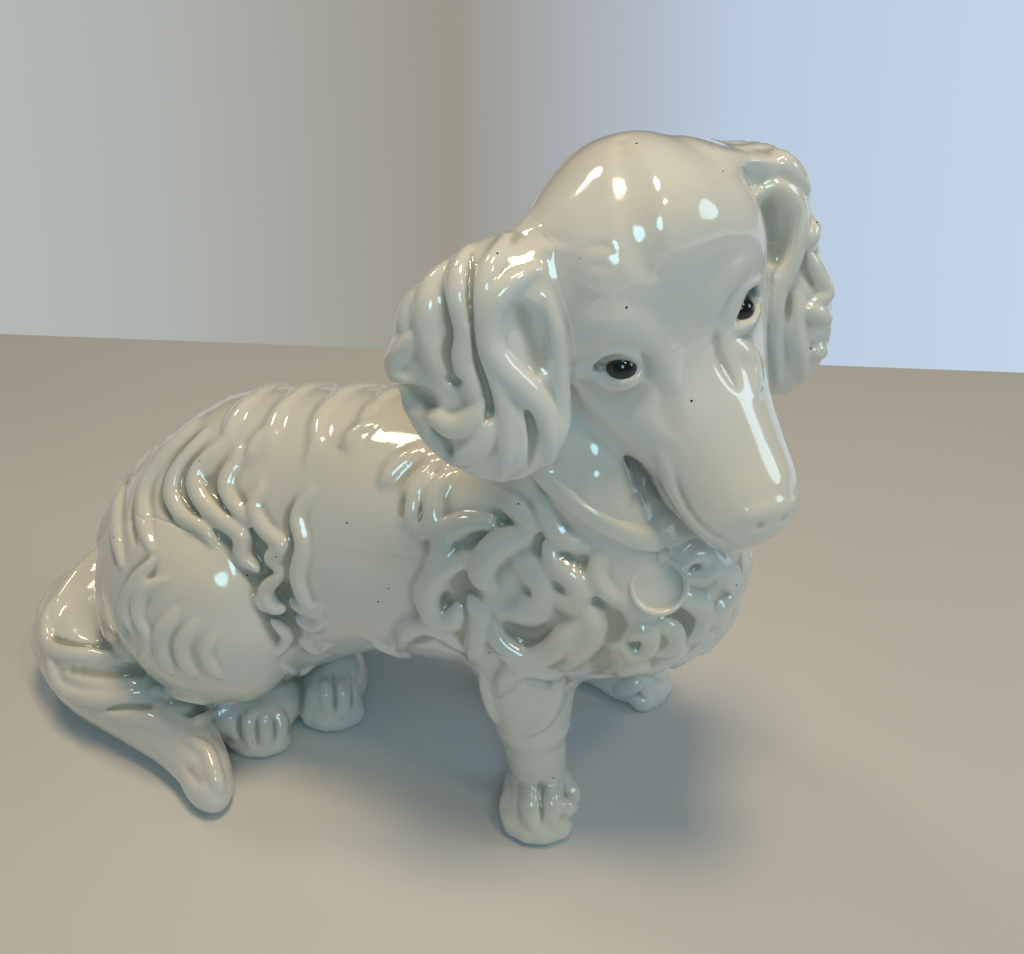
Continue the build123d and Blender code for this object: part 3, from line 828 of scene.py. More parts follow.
EAR_RIDGES = [
    (5.5, 4.0, [(534, 270), (507, 288), (489, 313), (488, 344), (502, 369), (525, 390),
                (545, 416), (552, 450), (544, 480)]),
    (5.0, 3.0, [(506, 236), (490, 266), (482, 306), (484, 346), (497, 384),
                (508, 420), (508, 460), (500, 484)]),
    (5.0, 3.0, [(476, 236), (460, 262), (457, 296), (463, 330), (463, 362), (472, 388), (478, 404)]),
    (5.0, 3.0, [(448, 258), (428, 288), (425, 322), (430, 352), (438, 376)]),
    (4.0, 2.5, [(425, 284), (407, 308), (402, 336)]),
    (4.5, 3.0, [(420, 332), (399, 352), (393, 370), (413, 389)]),
    (5.0, 3.5, [(484, 400), (468, 422), (447, 426), (426, 410)]),
    (5.0, 3.0, [(434, 464), (458, 458), (480, 442), (492, 414)]),
    (4.5, 2.5, [(515, 396), (520, 440), (514, 480)]),
    (3.5, 2.5, [(546, 296), (556, 336), (562, 385), (564, 425), (556, 458)]),
    (4.5, 3.0, [(760, 142), (785, 160), (809, 192), (818, 214), (809, 242)]),
    (4.0, 3.0, [(757, 194), (778, 187), (797, 204), (799, 234), (790, 268),
                (779, 290), (776, 330), (778, 384)]),
    (4.0, 3.0, [(808, 252), (820, 276), (827, 293), (814, 302)]),
    (4.0, 3.0, [(806, 308), (826, 318), (840, 334), (830, 350), (812, 352)]),
    (4.0, 2.5, [(797, 296), (795, 330), (802, 362), (806, 392)]),
]
TAIL_RIDGES = [
    (5.0, 3.5, [(60, 592), (46, 618), (52, 648), (90, 654), (130, 660)]),
    (4.5, 3.5, [(48, 652), (62, 688), (100, 700), (140, 690)]),
    (4.0, 3.0, [(150, 690), (180, 694), (210, 706), (196, 722)]),
    (4.0, 3.0, [(100, 714), (140, 716), (170, 726)]),
    (4.0, 3.2, [(186, 738), (206, 750), (216, 776), (222, 794)]),
]
NECK_RIDGES = [
    (5.0, 1.6, [(560, 470), (566, 498), (582, 518)]),
    (5.0, 1.6, [(590, 478), (592, 503), (606, 524)]),
    (4.5, 1.4, [(616, 484), (614, 508), (624, 530)]),
    (4.5, 1.4, [(642, 502), (638, 520), (646, 534)]),
]
FACE_RIDGES = [
    (2.6, 1.5, [(592, 362), (601, 353), (618, 350), (633, 358), (642, 372)]),
    (2.4, 1.0, [(596, 379), (608, 389), (626, 389), (641, 380)]),
    (7.0, 2.2, [(566, 356), (584, 338), (610, 328), (640, 336), (662, 354), (672, 384)]),
    (2.5, 1.6, [(726, 322), (733, 301), (746, 286), (760, 280)]),
    (2.0, 1.2, [(735, 330), (748, 326), (760, 310)]),
    (6.0, 1.8, [(706, 318), (722, 286), (744, 266)]),
    (4.0, 1.6, [(740, 345), (754, 362), (758, 392)]),
    (3.0, 1.0, [(743, 518), (768, 511), (795, 503)]),
    (4.0, 1.6, [(660, 455), (672, 490), (690, 517), (716, 540), (742, 547)]),
]
TOE_RIDGES = [
    (4.0, 2.4, [(507, 790), (504, 808), (508, 824)]),
    (4.0, 2.4, [(530, 785), (530, 806), (532, 828)]),
    (4.0, 2.4, [(553, 783), (553, 804), (553, 826)]),
    (4.0, 2.4, [(574, 785), (576, 802), (572, 814)]),
    (3.6, 2.2, [(232, 714), (232, 726), (235, 738)]),
    (3.6, 2.2, [(249, 712), (248, 728), (250, 746)]),
    (3.6, 2.2, [(266, 712), (266, 728), (268, 746)]),
    (3.6, 2.2, [(281, 712), (283, 725), (281, 738)]),
    (3.6, 2.4, [(324, 680), (326, 694), (326, 712)]),
    (3.6, 2.4, [(342, 680), (344, 696), (346, 714)]),
]
TRUNK_GROOVES = [
    (2.4, 2.2, [(135, 468), (114, 495), (110, 530), (115, 564)]),
    (2.8, 2.7, [(176, 430), (152, 457), (137, 486), (132, 520), (136, 545)]),
    (2.8, 2.7, [(208, 420), (178, 454), (163, 486), (164, 506), (180, 523)]),
    (2.6, 2.4, [(212, 440), (187, 468), (184, 491), (196, 514), (214, 531), (236, 546)]),
    (2.6, 2.4, [(226, 456), (212, 480), (220, 501), (240, 520)]),
    (2.8, 2.7, [(298, 494), (286, 520), (293, 543), (286, 572), (290, 598)]),
    (2.0, 1.9, [(374, 426), (350, 440), (338, 448)]),
    (2.4, 2.4, [(419, 476), (404, 506), (408, 526)]),
    (2.4, 2.4, [(441, 478), (424, 500), (421, 526)]),
    (3.0, 2.7, [(526, 586), (531, 592), (534, 599)]),
]
# Hollows between the curls, pressed before the curls are laid on
TRUNK_HOLLOWS = [
    (15.0, 6.0, [(210, 486), (240, 526), (263, 566), (278, 604), (288, 640)]),
    (12.0, 3.5, [(150, 560), (132, 596), (124, 630)]),
    (9.0, 2.6, [(508, 628), (528, 638), (550, 632)]),
    (9.0, 4.0, [(440, 598), (446, 606), (450, 612)]),
    (12.0, 5.0, [(478, 548), (494, 536), (512, 530)]),
    (11.0, 5.0, [(544, 526), (551, 540), (552, 558)]),
    (8.0, 3.5, [(560, 580), (566, 586), (562, 592)]),
    (9.0, 3.5, [(412, 642), (432, 636), (452, 648)]),
    (10.0, 3.5, [(470, 566), (464, 588), (466, 606)]),
    (9.0, 3.5, [(586, 560), (592, 582), (600, 602)]),
    (10.0, 3.0, [(588, 640), (600, 660), (598, 680)]),
    (8.0, 3.0, [(528, 677), (546, 679), (564, 685)]),
    (7.0, 3.0, [(692, 566), (700, 567), (706, 568)]),
    (7.0, 3.0, [(632, 644), (638, 643), (644, 642)]),
    (9.0, 3.5, [(664, 612), (680, 616), (690, 630)]),
    (8.0, 3.5, [(606, 612), (616, 626), (612, 642)]),
]
EAR_GROOVES = [
    (7.0, 6.0, [(398, 394), (412, 398), (428, 404)]),
    (7.0, 5.0, [(520, 306), (530, 334), (540, 366)]),
    (2.6, 2.6, [(471, 244), (470, 288), (472, 318), (478, 356), (489, 394), (488, 418), (478, 430)]),
    (2.4, 2.2, [(443, 286), (447, 310), (452, 333), (447, 356), (456, 382)]),
    (2.6, 2.4, [(525, 400), (529, 421), (532, 450), (528, 484)]),
    (4.0, 3.0, [(430, 426), (440, 440), (450, 454)]),
    (3.0, 2.0, [(446, 378), (456, 381), (466, 378)]),
    (7.0, 4.0, [(768, 206), (776, 228), (776, 256)]),
    (2.2, 1.8, [(806, 248), (805, 270), (813, 286)]),
    (2.2, 1.8, [(792, 292), (790, 312), (797, 350), (798, 368)]),
]
TAIL_GROOVES = [
    (3.0, 2.4, [(36, 634), (80, 646), (128, 644)]),
    (5.0, 2.4, [(62, 670), (110, 674), (160, 670)]),
    (4.0, 1.8, [(105, 710), (130, 710), (150, 706)]),
    (3.5, 2.7, [(180, 714), (200, 712), (214, 708)]),
    (5.0, 1.9, [(184, 766), (194, 776), (200, 784)]),
]
FACE_GROOVES = [
    (7.0, 1.2, [(640, 352), (652, 376), (664, 404), (674, 430)]),
    (8.0, 2.0, [(584, 384), (604, 402), (632, 402), (652, 388)]),
    (1.6, 0.8, [(580, 250), (598, 245), (617, 250)]),
    (1.4, 0.7, [(586, 269), (598, 266), (607, 269)]),
    (9.0, 1.5, [(622, 140), (632, 190), (641, 240), (652, 270)]),
    (2.4, 1.4, [(673, 464), (680, 490), (692, 513), (712, 533), (735, 544)]),
    (5.0, 1.6, [(716, 330), (722, 356), (736, 384)]),
    (1.5, 0.8, [(732, 338), (748, 334), (760, 320)]),
    (1.4, 0.8, [(762, 364), (756, 384), (766, 400)]),
    (2.4, 1.2, [(757, 525), (760, 526), (763, 526)]),
    (2.4, 1.2, [(781, 519), (784, 519), (787, 518)]),
]
TOE_GROOVES = [
    (1.8, 1.8, [(519, 782), (517, 805), (520, 824)]),
    (1.8, 1.8, [(541, 778), (541, 800), (542, 822)]),
    (1.8, 1.8, [(565, 777), (566, 800), (562, 816)]),
    (1.8, 1.6, [(240, 712), (239, 726), (241, 740)]),
    (1.8, 1.6, [(258, 710), (257, 728), (258, 746)]),
    (1.8, 1.6, [(274, 712), (275, 726), (275, 740)]),
    (1.8, 1.8, [(332, 668), (335, 690), (335, 714)]),
    (1.8, 1.8, [(349, 668), (353, 690), (352, 710)]),
    (1.8, 1.8, [(648, 675), (658, 679), (667, 683)]),
    (1.8, 1.8, [(632, 689), (640, 696), (646, 700)]),
    (3.0, 2.4, [(618, 690), (624, 690)]),
]


def runs_on_skin(skin, points):
    # Splits a chain of points where it leaves the skin or jumps from one form to another
    near = np.abs(skin.height(points)) < SNAP_VOXEL
    points = skin.snapped(points)
    steps = np.linalg.norm(np.diff(points, axis=0), axis=1)
    run = []
    for number, point in enumerate(points):
        jump = number > 0 and steps[number - 1] > LONGEST_STEP
        if jump or not near[number]:
            if len(run) >= SHORTEST_RUN:
                yield np.array(run)
            run = []
        if near[number]:
            run.append(point)
    if len(run) >= SHORTEST_RUN:
        yield np.array(run)


def mirrored_on_trunk(skin, points):
    middle = np.interp(-points[:, 0], -TRUNK_LINE[:, 0], TRUNK_LINE[:, 1])
    other = points.copy()
    other[:, 1] = 2 * middle - points[:, 1]
    return skin.snapped(other)


def stroke_lines(skin, strokes, mirrored=False):
    # Half width, height and the run of points of each stroke
    for half_width, height, pixels in strokes:
        for run in runs_on_skin(skin, skin.under_pixels(smooth_curve(pixels, STROKE_STEPS))):
            yield half_width, height, run
            if mirrored:
                for other in runs_on_skin(skin, mirrored_on_trunk(skin, run)):
                    yield half_width, height, other


def stroke_rod(skin, points, half_width, height):
    # A rod bedded in the skin so that it shows the given width and height
    taper = stroke_taper(len(points))
    radius = (half_width ** 2 + height ** 2) / (2 * height)
    depth = (radius - height) * taper
    return points - skin.normal(points) * depth[:, None], radius * taper


TRUNK_LINE = np.array([trunk_place(row[0], row[1], 0) for row in TRUNK_SHARES])


def node_box(name):
    low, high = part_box(name)
    return np.array(low) / MM - STANCE, np.array(high) / MM - STANCE


eye_low, eye_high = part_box("eye_right")
STANCE = (np.array(eye_low) + np.array(eye_high)) / 2 / MM - head_point(*BEAD_PLACE)
skin = Skin(np.array(cad_low) / MM - STANCE - PROUD, np.array(cad_high) / MM - STANCE + PROUD)

# Wavy locks over the sides that the photograph doesn't show
LOCK_POINTS = 26
LOCK_REACH = 90.0  # they are laid on from this far outside
LOCK_WAVE = 4.5  # swing to either side
LOCK_WAVES = 1.4  # waves in a lock
LOCK_PHASE = 0.09  # each lock waves a little later than the one beside it
LOCK_HALF_WIDTH = 5.0
LOCK_HEIGHT = 2.8
TAIL_LOCK_ROWS = 15
TAIL_LOCK_TURNS = (5, 40, 75)
EAR_LOCK_SHARES = (-0.6, -0.2, 0.2, 0.6)
RUMP_MIDDLE = (0.78, -0.16)
CHEST_MIDDLE = (0.16, 0.0)
# Upright ones: the place they stand round, the heights they run between, and the ways they face
UPRIGHT_LOCKS = [
    (trunk_place(*RUMP_MIDDLE, 0), (140.0, 64.0), range(84, 216, 16)),
    (trunk_place(*LEFT_THIGH, 0), (72.0, 16.0), range(36, 160, 20)),
    ((NECK_TOP + NECK_LEAN) * (1, 1, 0), (246.3, 210.3), range(80, 240, 24)),
    (trunk_place(*CHEST_MIDDLE, 0), (124.0, 88.0), range(-48, 49, 16)),
]


def hidden_lock(middles, outward, sideways, number):
    # A wavy line that is laid on along a chain of middles
    shares = np.linspace(0, 1, len(middles))
    wave = LOCK_WAVE * np.sin(2 * math.pi * (LOCK_WAVES * shares + LOCK_PHASE * number))
    return skin.reached(middles + outward * LOCK_REACH + wave[:, None] * sideways, -outward)


def upright_locks():
    for foot, heights, turns in UPRIGHT_LOCKS:
        middles = foot + np.outer(np.linspace(*heights, LOCK_POINTS), UP)
        for number, turn in enumerate(turns):
            yield hidden_lock(middles, heading(turn), heading(turn + 90), number)


def tail_locks():
    middles = tail_line()[0][:TAIL_LOCK_ROWS]
    flat = np.cross(np.gradient(middles, axis=0), UP)
    flat = flat / np.linalg.norm(flat, axis=1, keepdims=True)
    for number, turn in enumerate(np.radians(TAIL_LOCK_TURNS)):
        outward = math.cos(turn) * flat + math.sin(turn) * UP
        sideways = math.cos(turn) * UP - math.sin(turn) * flat
        yield hidden_lock(middles, outward, sideways, number)


def left_ear_locks():
    rows = smooth_curve(LEFT_EAR_SHARES, STROKE_STEPS)
    wide = heading(LEFT_EAR_SPREAD)
    for number, share in enumerate(EAR_LOCK_SHARES):
        across = np.outer(rows[:, 3] * EAR_WIDTH * share, wide)
        middles = ear_root(1) + rows[:, :3] * EAR_LENGTH + across
        yield hidden_lock(middles, heading(LEFT_EAR_SPREAD + 90), wide, number)


TRUNK_RIDGES = RUMP_RIDGES + FLANK_RIDGES + HAUNCH_RIDGES + CHEST_RIDGES
HAIR_LINES = list(stroke_lines(skin, TRUNK_RIDGES, mirrored=True)) + list(
    stroke_lines(skin, EAR_RIDGES + TAIL_RIDGES + NECK_RIDGES)
)
for line in (*upright_locks(), *tail_locks(), *left_ear_locks()):
    HAIR_LINES += [(LOCK_HALF_WIDTH, LOCK_HEIGHT, run) for run in runs_on_skin(skin, line)]
RIDGE_LINES = HAIR_LINES + list(stroke_lines(skin, FACE_RIDGES + TOE_RIDGES))
GROOVE_LINES = list(stroke_lines(skin, TRUNK_GROOVES, mirrored=True)) + list(
    stroke_lines(skin, EAR_GROOVES + TAIL_GROOVES + FACE_GROOVES + TOE_GROOVES)
)
BED_LINES = [(wide + BED_MARGIN, BED_SHARE * high, line) for wide, high, line in HAIR_LINES]
BED_LINES += stroke_lines(skin, TRUNK_HOLLOWS, mirrored=True)
RIDGES = [stroke_rod(skin, line, wide, high) for wide, high, line in RIDGE_LINES]


def eye_opening(places, side):
    # A slit that narrows to both corners of the eye, between two planes that meet at the corners
    gaze, corner = [unit(np.multiply(way, (1, side, 1)) @ HEAD_AXES) for way in (EYE_GAZE, EYE_CORNER)]
    upright = unit(np.cross(gaze, corner))
    axes = (gaze, np.cross(upright, gaze), upright)
    out, aside, up = measures(places, eye_middle(side), axes)
    wedge = np.abs(up) * math.cos(EYE_OPENING) - out * math.sin(EYE_OPENING)
    ball = np.sqrt(out * out + aside * aside + up * up) - (LID_RADIUS + EYE_RADIUS / 2)
    return np.maximum(wedge, ball).astype(np.float32)


def finish_face(clay, field):
    for side in (-1, 1):
        field = smooth_max(field, -eye_opening(clay.everywhere(), side), EYE_EDGE)
    return field


def laid(clay, rods):
    field = clay.empty()
    for points, radii in rods:
        clay.lay(field, points, radii)
    return field


def pressed(clay, lines):
    depths = np.zeros(clay.shape, np.float32)
    for half_width, depth, line in lines:
        clay.dent(depths, line, half_width, depth)
    return depths


def sculpted(clay, name):
    field = joined_forms(clay) + pressed(clay, BED_LINES)
    field = smooth_min(field, laid(clay, RIDGES), RIDGE_BLEND)
    field = field + pressed(clay, GROOVE_LINES)
    if name == "head_shell":
        field = finish_face(clay, field)
    return softened(field, GLAZE_SOFTENING)


def cut_to_piece(clay, field, name):
    # Keeps what the piece owns, running on a little under its neighbours, above the ground
    owned = owned_forms(clay, name)
    field = field + SINK * np.clip(owned / OVERLAP, 0, 1)
    field = np.maximum(field, owned - OVERLAP)
    field = np.maximum(field, -clay.axes[2][None, None, :])
    for axis in range(3):
        edge = np.moveaxis(field, axis, 0)
        edge[0] = np.maximum(edge[0], clay.voxel)
        edge[-1] = np.maximum(edge[-1], clay.voxel)
    return field


def largest_part(count, quads):
    # Which points belong to the largest joined part of a mesh
    label = np.arange(count)
    while True:
        lowest = label[quads].min(axis=1)
        made = label.copy()
        for column in quads.T:
            np.minimum.at(made, column, lowest)
        made = made[made]
        if np.array_equal(made, label):
            break
        label = made
    names, counts = np.unique(label, return_counts=True)
    return label == names[np.argmax(counts)]


def mesh_object(name, points, quads, hollows):
    mesh = bpy.data.meshes.new(name)
    mesh.vertices.add(len(points))
    mesh.vertices.foreach_set("co", points.astype(np.float32).ravel())
    mesh.loops.add(quads.size)
    mesh.loops.foreach_set("vertex_index", quads.astype(np.int32).ravel())
    mesh.polygons.add(len(quads))
    mesh.polygons.foreach_set("loop_start", np.arange(0, quads.size, 4, dtype=np.int32))
    mesh.polygons.foreach_set("use_smooth", np.ones(len(quads), bool))
    mesh.update()
    layer = mesh.attributes.new("hollow", "FLOAT", "POINT")
    layer.data.foreach_set("value", hollows.astype(np.float32))
    made = bpy.data.objects.new(name, mesh)
    bpy.context.scene.collection.objects.link(made)
    return made


def meshed(name, clay, field, hollows):
    grid = openvdb.FloatGrid(FAR)
    grid.copyFromArray(np.ascontiguousarray(field, np.float32))
    places, quads = grid.convertToQuads(0.0)
    quads = quads.astype(np.int64)
    kept = largest_part(len(places), quads)
    quads = quads[kept[quads[:, 0]]]
    number = np.cumsum(kept) - 1
    places, quads = places[kept], number[quads]
    corner = places[quads]
    sides = np.cross(corner[:, 1] - corner[:, 0], corner[:, 2] - corner[:, 0])
    if np.einsum("ij,ij->", corner[:, 0] - places.mean(axis=0), sides) < 0:
        quads = quads[:, ::-1]
    points = (places * clay.voxel + clay.low + STANCE) * MM
    return mesh_object(name, points, quads, sampled(hollows, places))


def glazed_piece(name, clay, field, kept, material):
    # Meshes what is kept of a field, with how hollow each point is: the glaze pools in the hollows, and
    # the deepest of them get painted shade
    hollows = field - softened(field, POOL_PASSES)
    made = meshed(name + "_glazed", clay, kept, hollows)
    made.data.materials.append(material)
    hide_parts(name)
    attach(made, "root")


def ceramic_piece(name):
    low, high = node_box(name)
    voxel = VOXELS.get(name, USUAL_VOXEL) * QUICK_COARSENING
    clay = Clay(low - PROUD, high + PROUD, voxel)
    field = sculpted(clay, name)
    glazed_piece(name, clay, field, cut_to_piece(clay, field, name), WHITE_GLAZE)


class Nodes:
    # Builds the nodes of a material or a world, with their settings and links
    def __init__(self, owner):
        owner.use_nodes = True
        self.owner = owner
        self.tree = owner.node_tree

    def add(self, kind, settings=None, inputs=None):
        node = self.tree.nodes.new("ShaderNode" + kind)
        for key, value in (settings or {}).items():
            setattr(node, key, value)
        for key, value in (inputs or {}).items():
            self.feed(node.inputs[key], value)
        return node

    def feed(self, socket, value):
        if isinstance(value, bpy.types.NodeSocket):
            self.tree.links.new(value, socket)
        else:
            socket.default_value = value

    def shade(self, shader, **inputs):
        for key, value in inputs.items():
            self.feed(self.tree.nodes[shader].inputs[key.replace("_", " ")], value)

    def noise(self, scale):
        place = self.add("TexCoord").outputs["Object"]
        node = self.add("TexNoise", inputs={"Vector": place, "Scale": scale, "Detail": NOISE_DETAIL})
        return node.outputs["Fac"]

    def range(self, value, low, high, bottom=0.0, top=1.0):
        node = self.add("MapRange", {"interpolation_type": "SMOOTHSTEP"}, {
            "Value": value, "From Min": low, "From Max": high, "To Min": bottom, "To Max": top})
        return node.outputs["Result"]

    def mix(self, share, first, second):
        return self.add("Mix", {"data_type": "RGBA"}, {0: share, 6: first, 7: second}).outputs[2]

    def bump(self, height, depth, strength):
        node = self.add("Bump", inputs={"Height": height, "Distance": depth, "Strength": strength})
        return node.outputs["Normal"]


    def ramp(self, value, stops):
        low, high = stops[0][0], stops[-1][0]
        share = self.add("MapRange", inputs={"Value": value, "From Min": low, "From Max": high})
        node = self.add("ValToRGB", inputs={"Fac": share.outputs["Result"]})
        for number, (position, colour) in enumerate(stops):
            where = (position - low) / (high - low)
            if number in (0, len(stops) - 1):
                element = node.color_ramp.elements[-1 if number else 0]
                element.position = where
            else:
                element = node.color_ramp.elements.new(where)
            element.color = (*colour, 1)
        return node.outputs["Color"]


NOISE_DETAIL = 3.0
GLAZE_FINISH = {"Roughness": 0.12, "IOR": 1.52, "Coat_Roughness": 0.02}
GLAZE_WHITE = (0.80, 0.81, 0.79, 1.0)
GLAZE_CREAM = (0.80, 0.78, 0.71, 1.0)
GLAZE_POOL = (0.44, 0.45, 0.38, 1.0)
# Colour of the deepest hollows: painted shade, darker than the pooled glaze
HOLLOW_SHADE_COLOUR = (0.25, 0.24, 0.17, 1.0)
DRIFT_SCALE = 14.0
DRIFT_RANGE = (0.38, 0.66)  # where white turns to cream
POOL_RANGE = (0.06, 0.8)  # depths of hollows at which the glaze begins to pool and has pooled
# Depths of hollows over which the painted shade darkens them
HOLLOW_SHADE_RANGE = (1.0, 2.6)
RIPPLE_SCALE = 120.0
RIPPLE_DEPTH = 0.0006
RIPPLE_STRENGTH = 0.25
WHITE_COAT = 1.0
PINHOLE_DARK = (0.02, 0.017, 0.014, 1.0)
PINHOLE_SCALE = 88.0
PINHOLE_RANGE = (0.036, 0.045)
BLACK_COLOURS = ((0.004, 0.004, 0.005, 1.0), (0.012, 0.011, 0.012, 1.0))
BLACK_SCALE = 300.0
BLACK_DEPTH = 0.0002
BLACK_STRENGTH = 0.1
BLACK_COAT = 0.6
TABLE_COLOURS = ((0.66, 0.67, 0.68, 1.0), (0.71, 0.72, 0.73, 1.0))
TABLE_SCALE = 6.0
TABLE_ROUGHNESS = 0.55


def white_glaze():
    nodes = Nodes(bpy.data.materials.new("white_glaze"))
    hollow = nodes.add("Attribute", {"attribute_name": "hollow"}).outputs["Fac"]
    drift = nodes.range(nodes.noise(DRIFT_SCALE), *DRIFT_RANGE)
    ripple = nodes.noise(RIPPLE_SCALE)
    body = nodes.mix(drift, GLAZE_WHITE, GLAZE_CREAM)
    pooled = nodes.mix(nodes.range(hollow, *POOL_RANGE), body, GLAZE_POOL)
    # The deepest hollows are darkened further with painted shade, on top of the pooled glaze
    deep = nodes.mix(nodes.range(hollow, *HOLLOW_SHADE_RANGE), pooled, HOLLOW_SHADE_COLOUR)
    place = nodes.add("TexCoord").outputs["Object"]
    pits = nodes.add("TexVoronoi", inputs={"Vector": place, "Scale": PINHOLE_SCALE})
    pit = nodes.range(pits.outputs["Distance"], *PINHOLE_RANGE, 1.0, 0.0)
    height = nodes.add("Math", {"operation": "SUBTRACT"}, {0: ripple, 1: pit}).outputs[0]
    nodes.shade("Principled BSDF", Base_Color=nodes.mix(pit, deep, PINHOLE_DARK), Coat_Weight=WHITE_COAT,
                Normal=nodes.bump(height, RIPPLE_DEPTH, RIPPLE_STRENGTH), **GLAZE_FINISH)
    return nodes.owner


def black_glaze():
    nodes = Nodes(bpy.data.materials.new("black_glaze"))
    cloud = nodes.noise(BLACK_SCALE)
    nodes.shade("Principled BSDF", Base_Color=nodes.mix(cloud, *BLACK_COLOURS), Coat_Weight=BLACK_COAT,
                Normal=nodes.bump(cloud, BLACK_DEPTH, BLACK_STRENGTH), **GLAZE_FINISH)
    return nodes.owner


def table_top():
    nodes = Nodes(bpy.data.materials.new("table_top"))
    colour = nodes.mix(nodes.noise(TABLE_SCALE), *TABLE_COLOURS)
    nodes.shade("Principled BSDF", Base_Color=colour, Roughness=TABLE_ROUGHNESS)
    return nodes.owner


WHITE_GLAZE = white_glaze()
BLACK_GLAZE = black_glaze()
SMALL_VOXEL = 0.55
SMALL_MARGIN = 3.0


def small_piece(name, field_maker, material):
    low, high = node_box(name)
    clay = Clay(low - SMALL_MARGIN, high + SMALL_MARGIN, SMALL_VOXEL * QUICK_COARSENING)
    field = softened(field_maker(clay.everywhere(), clay.voxel), GLAZE_SOFTENING)
    glazed_piece(name, clay, field, field, material)


def collar_field(places, voxel):
    around = neck().distance(places, voxel)
    height = measures(places, PARTING, [PARTING_UP])[0]
    band = smooth_max(around - COLLAR_THICKNESS, np.abs(height) - COLLAR_WIDTH / 2, COLLAR_EDGE)
    return np.maximum(band, -(around + COLLAR_THICKNESS)).astype(np.float32)


TAG_PLACE = np.array([36.45, -41.83, 155.26])
TAG_RADIUS = 11.5
TAG_THICKNESS = 4.0
TAG_HALF_DEPTH = 5.2  # it reaches back into the chest
TAG_EDGE = 1.5
TAG_FACING = -58.0
TAG_LEAN = math.radians(28.0)
TAG_FACE = heading(TAG_FACING) * math.cos(TAG_LEAN) + UP * math.sin(TAG_LEAN)
TAG_SIDE = unit(np.cross(UP, TAG_FACE))
TAG_UP = np.cross(TAG_FACE, TAG_SIDE)
RIM_CIRCLE = 10.4  # radius of the circle that the rim runs along
RIM_HEIGHT = 3.4
RIM_RADIUS = 1.364
RIM_BLEND = 1.2
DOME_RADIUS = 27.2
DOME_DEPTH = 24.0  # its middle lies this far behind the face
DOME_BLEND = 1.0
LOOP_INSET = 3.0  # foot of the loop inside the tag's edge
LOOP_RISE = 2.4  # and in front of its face
LOOP_DROP = 2.0  # top of the loop below the top of its CAD box
LOOP_RADII = (2.3, 2.1)
KNOB_RADII = (3.0, 2.6)
LOOP_BLEND = 1.5


def tag_field(places, voxel):
    # A disc with a domed face inside a raised rim
    out, aside, up = measures(places, TAG_PLACE, (TAG_FACE, TAG_SIDE, TAG_UP))
    radius = np.hypot(aside, up)
    depth = np.abs(out + TAG_THICKNESS / 2) - TAG_HALF_DEPTH
    disc = smooth_max(radius - TAG_RADIUS, depth, TAG_EDGE)
    dome = np.hypot(radius, out + DOME_DEPTH) - DOME_RADIUS
    rim = np.hypot(radius - RIM_CIRCLE, out - RIM_HEIGHT) - RIM_RADIUS
    return smooth_min(smooth_max(disc, dome, DOME_BLEND), rim, RIM_BLEND).astype(np.float32)


def loop_field(places, voxel):
    low, high = node_box("tag_loop")
    foot = TAG_PLACE + TAG_UP * (TAG_RADIUS - LOOP_INSET) + TAG_FACE * LOOP_RISE
    top = np.array([(low[0] + high[0]) / 2, (low[1] + high[1]) / 2, high[2] - LOOP_DROP])
    post = rod_distance(places, foot, top, *LOOP_RADII)
    knob = rod_distance(places, top, top + TAG_FACE, *KNOB_RADII)
    return smooth_min(post, knob, LOOP_BLEND)


def eye_field(side):
    return Ball(eye_middle(side), [EYE_RADIUS] * 3).distance


for name in FORMS:
    ceramic_piece(name)
small_piece("collar", collar_field, WHITE_GLAZE)
small_piece("tag", tag_field, WHITE_GLAZE)
small_piece("tag_loop", loop_field, WHITE_GLAZE)
small_piece("eye_right", eye_field(-1), BLACK_GLAZE)
small_piece("eye_left", eye_field(1), BLACK_GLAZE)


def row_place(stance_place):
    return Vector((np.asarray(stance_place) + STANCE) * MM)


FLOOR_SIZE = 3.0  # metres
TABLE_REACH = 0.83  # metres from under the camera to the far edge
TABLE_TURN = 4.8  # degrees by which the far edge comes nearer to the right
# Wall colours across the view; the dark band just left of the middle is the dog's shadow, painted on the
# wall
WALL_AND_SHADOW_COLOURS = [
    (-0.6, (0.50, 0.54, 0.53)),
    (-0.3, (0.43, 0.45, 0.43)),
    (-0.05, (0.33, 0.31, 0.26)),
    (0.2, (0.50, 0.60, 0.74)),
    (0.6, (0.60, 0.72, 0.86)),
]
SKY_COLOURS = [(0.0, (0.07, 0.11, 0.135)), (0.5, (0.08, 0.105, 0.12)), (1.0, (0.16, 0.135, 0.10))]
WALL_TOP = [(-0.06, (0, 0, 0)), (0.02, (1, 1, 1))]
# Name, way from the dog, distance and size in metres, watts and colour of each light
LIGHTS = [
    ("warm_ceiling", (0.15, -0.05, 0.97), 1.4, 0.35, 8.4, (1.0, 0.73, 0.42)),
    ("warm_lamp", (0.56, -0.23, 0.81), 1.2, 0.14, 1.2, (1.0, 0.80, 0.55)),
    ("warm_left", (-0.50, 0.10, 0.86), 1.3, 0.25, 1.8, (1.0, 0.90, 0.74)),
    ("cool_front", (0.50, -0.75, 0.60), 1.4, 0.40, 2.9, (0.46, 0.86, 1.0)),
    ("cool_window", (0.95, 0.30, 0.45), 1.5, 0.50, 2.4, (0.66, 0.86, 1.0)),
]


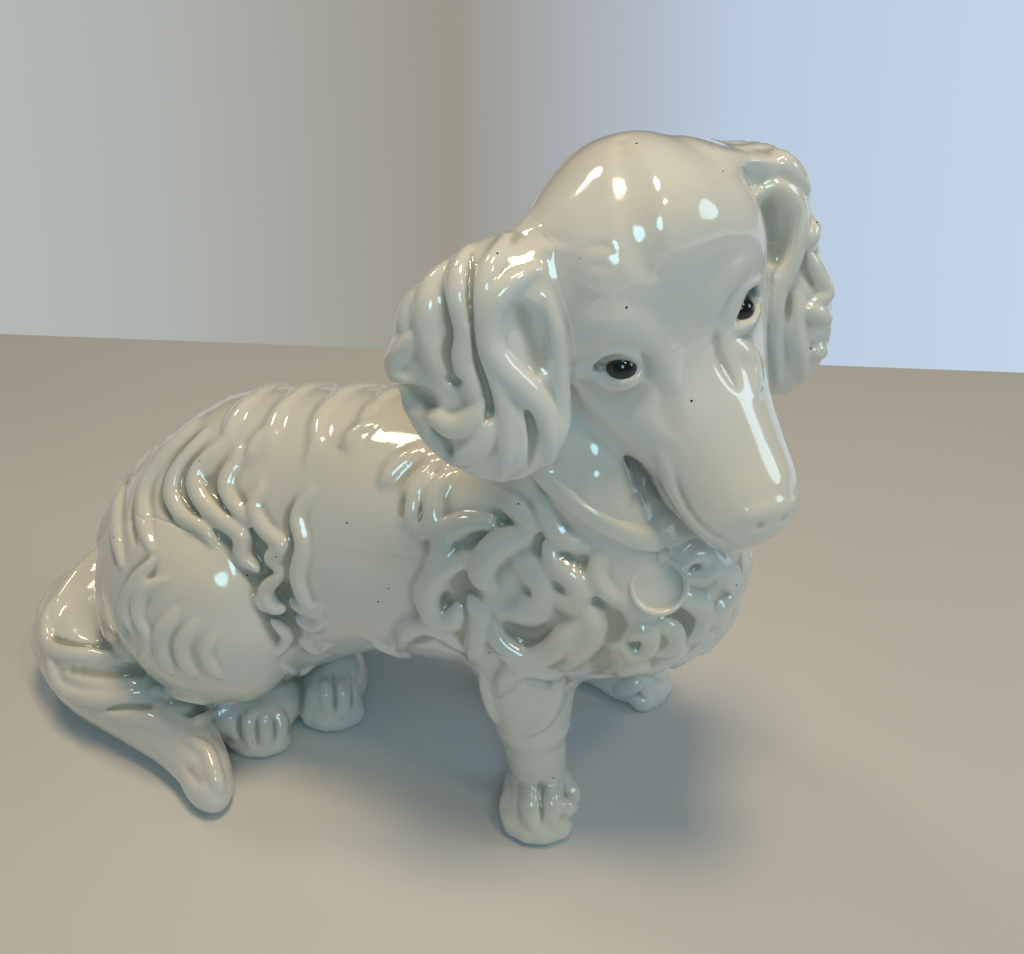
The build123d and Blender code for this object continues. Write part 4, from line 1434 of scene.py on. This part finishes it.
def add_floor():
    # A table top that ends behind the dog, as in the photograph
    right = Vector(heading(CAMERA_AZIMUTH - TABLE_TURN))
    ahead = Vector(UP).cross(right)
    far = row_place((CAMERA_PLACE[0], CAMERA_PLACE[1], 0)) + ahead * TABLE_REACH
    near = far - ahead * FLOOR_SIZE
    corners = [near - right * FLOOR_SIZE, near + right * FLOOR_SIZE,
               far + right * FLOOR_SIZE, far - right * FLOOR_SIZE]
    mesh = bpy.data.meshes.new("table")
    mesh.from_pydata([tuple(c) for c in corners], [], [(0, 1, 2, 3)])
    mesh.materials.append(table_top())
    floor = bpy.data.objects.new("table", mesh)
    bpy.context.scene.collection.objects.link(floor)


def add_camera():
    data = bpy.data.cameras.new("camera")
    data.sensor_fit = "HORIZONTAL"
    data.sensor_width = SENSOR_WIDTH
    data.lens = FOCAL_PIXELS / PHOTO_SIZE[0] * SENSOR_WIDTH
    camera = bpy.data.objects.new("camera", data)
    turn = Matrix([CAMERA_RIGHT, CAMERA_UP, -CAMERA_AHEAD]).transposed()
    camera.matrix_world = Matrix.Translation(row_place(CAMERA_PLACE)) @ turn.to_4x4()
    bpy.context.scene.collection.objects.link(camera)
    bpy.context.scene.camera = camera


def add_light(name, direction, distance, size, power, colour):
    data = bpy.data.lights.new(name, "AREA")
    data.shape = "DISK"
    data.size = size
    data.energy = power
    data.color = colour
    light = bpy.data.objects.new(name, data)
    middle = Vector((cad_low + cad_high) / 2)
    light.location = middle + Vector(unit(direction)) * distance
    light.rotation_mode = "QUATERNION"
    light.rotation_quaternion = (light.location - middle).to_track_quat("Z", "Y")
    bpy.context.scene.collection.objects.link(light)


def add_sky():
    # Warm from above and cool from the sides, and behind the table a wall, warmer on the left, with the
    # dog's shadow painted on it
    nodes = Nodes(bpy.data.worlds.new("studio"))
    place = nodes.add("TexCoord").outputs["Generated"]
    aside, above = [
        nodes.add("VectorMath", {"operation": "DOT_PRODUCT"}, {0: place, 1: way}).outputs["Value"]
        for way in (CAMERA_RIGHT, UP)
    ]
    wall_and_shadow = nodes.ramp(aside, WALL_AND_SHADOW_COLOURS)
    sky = nodes.ramp(above, SKY_COLOURS)
    nodes.shade("Background", Color=nodes.mix(nodes.ramp(above, WALL_TOP), wall_and_shadow, sky))
    bpy.context.scene.world = nodes.owner


add_floor()
add_camera()
add_sky()
for light in LIGHTS:
    add_light(*light)
bpy.context.scene.view_settings.view_transform = "Standard"
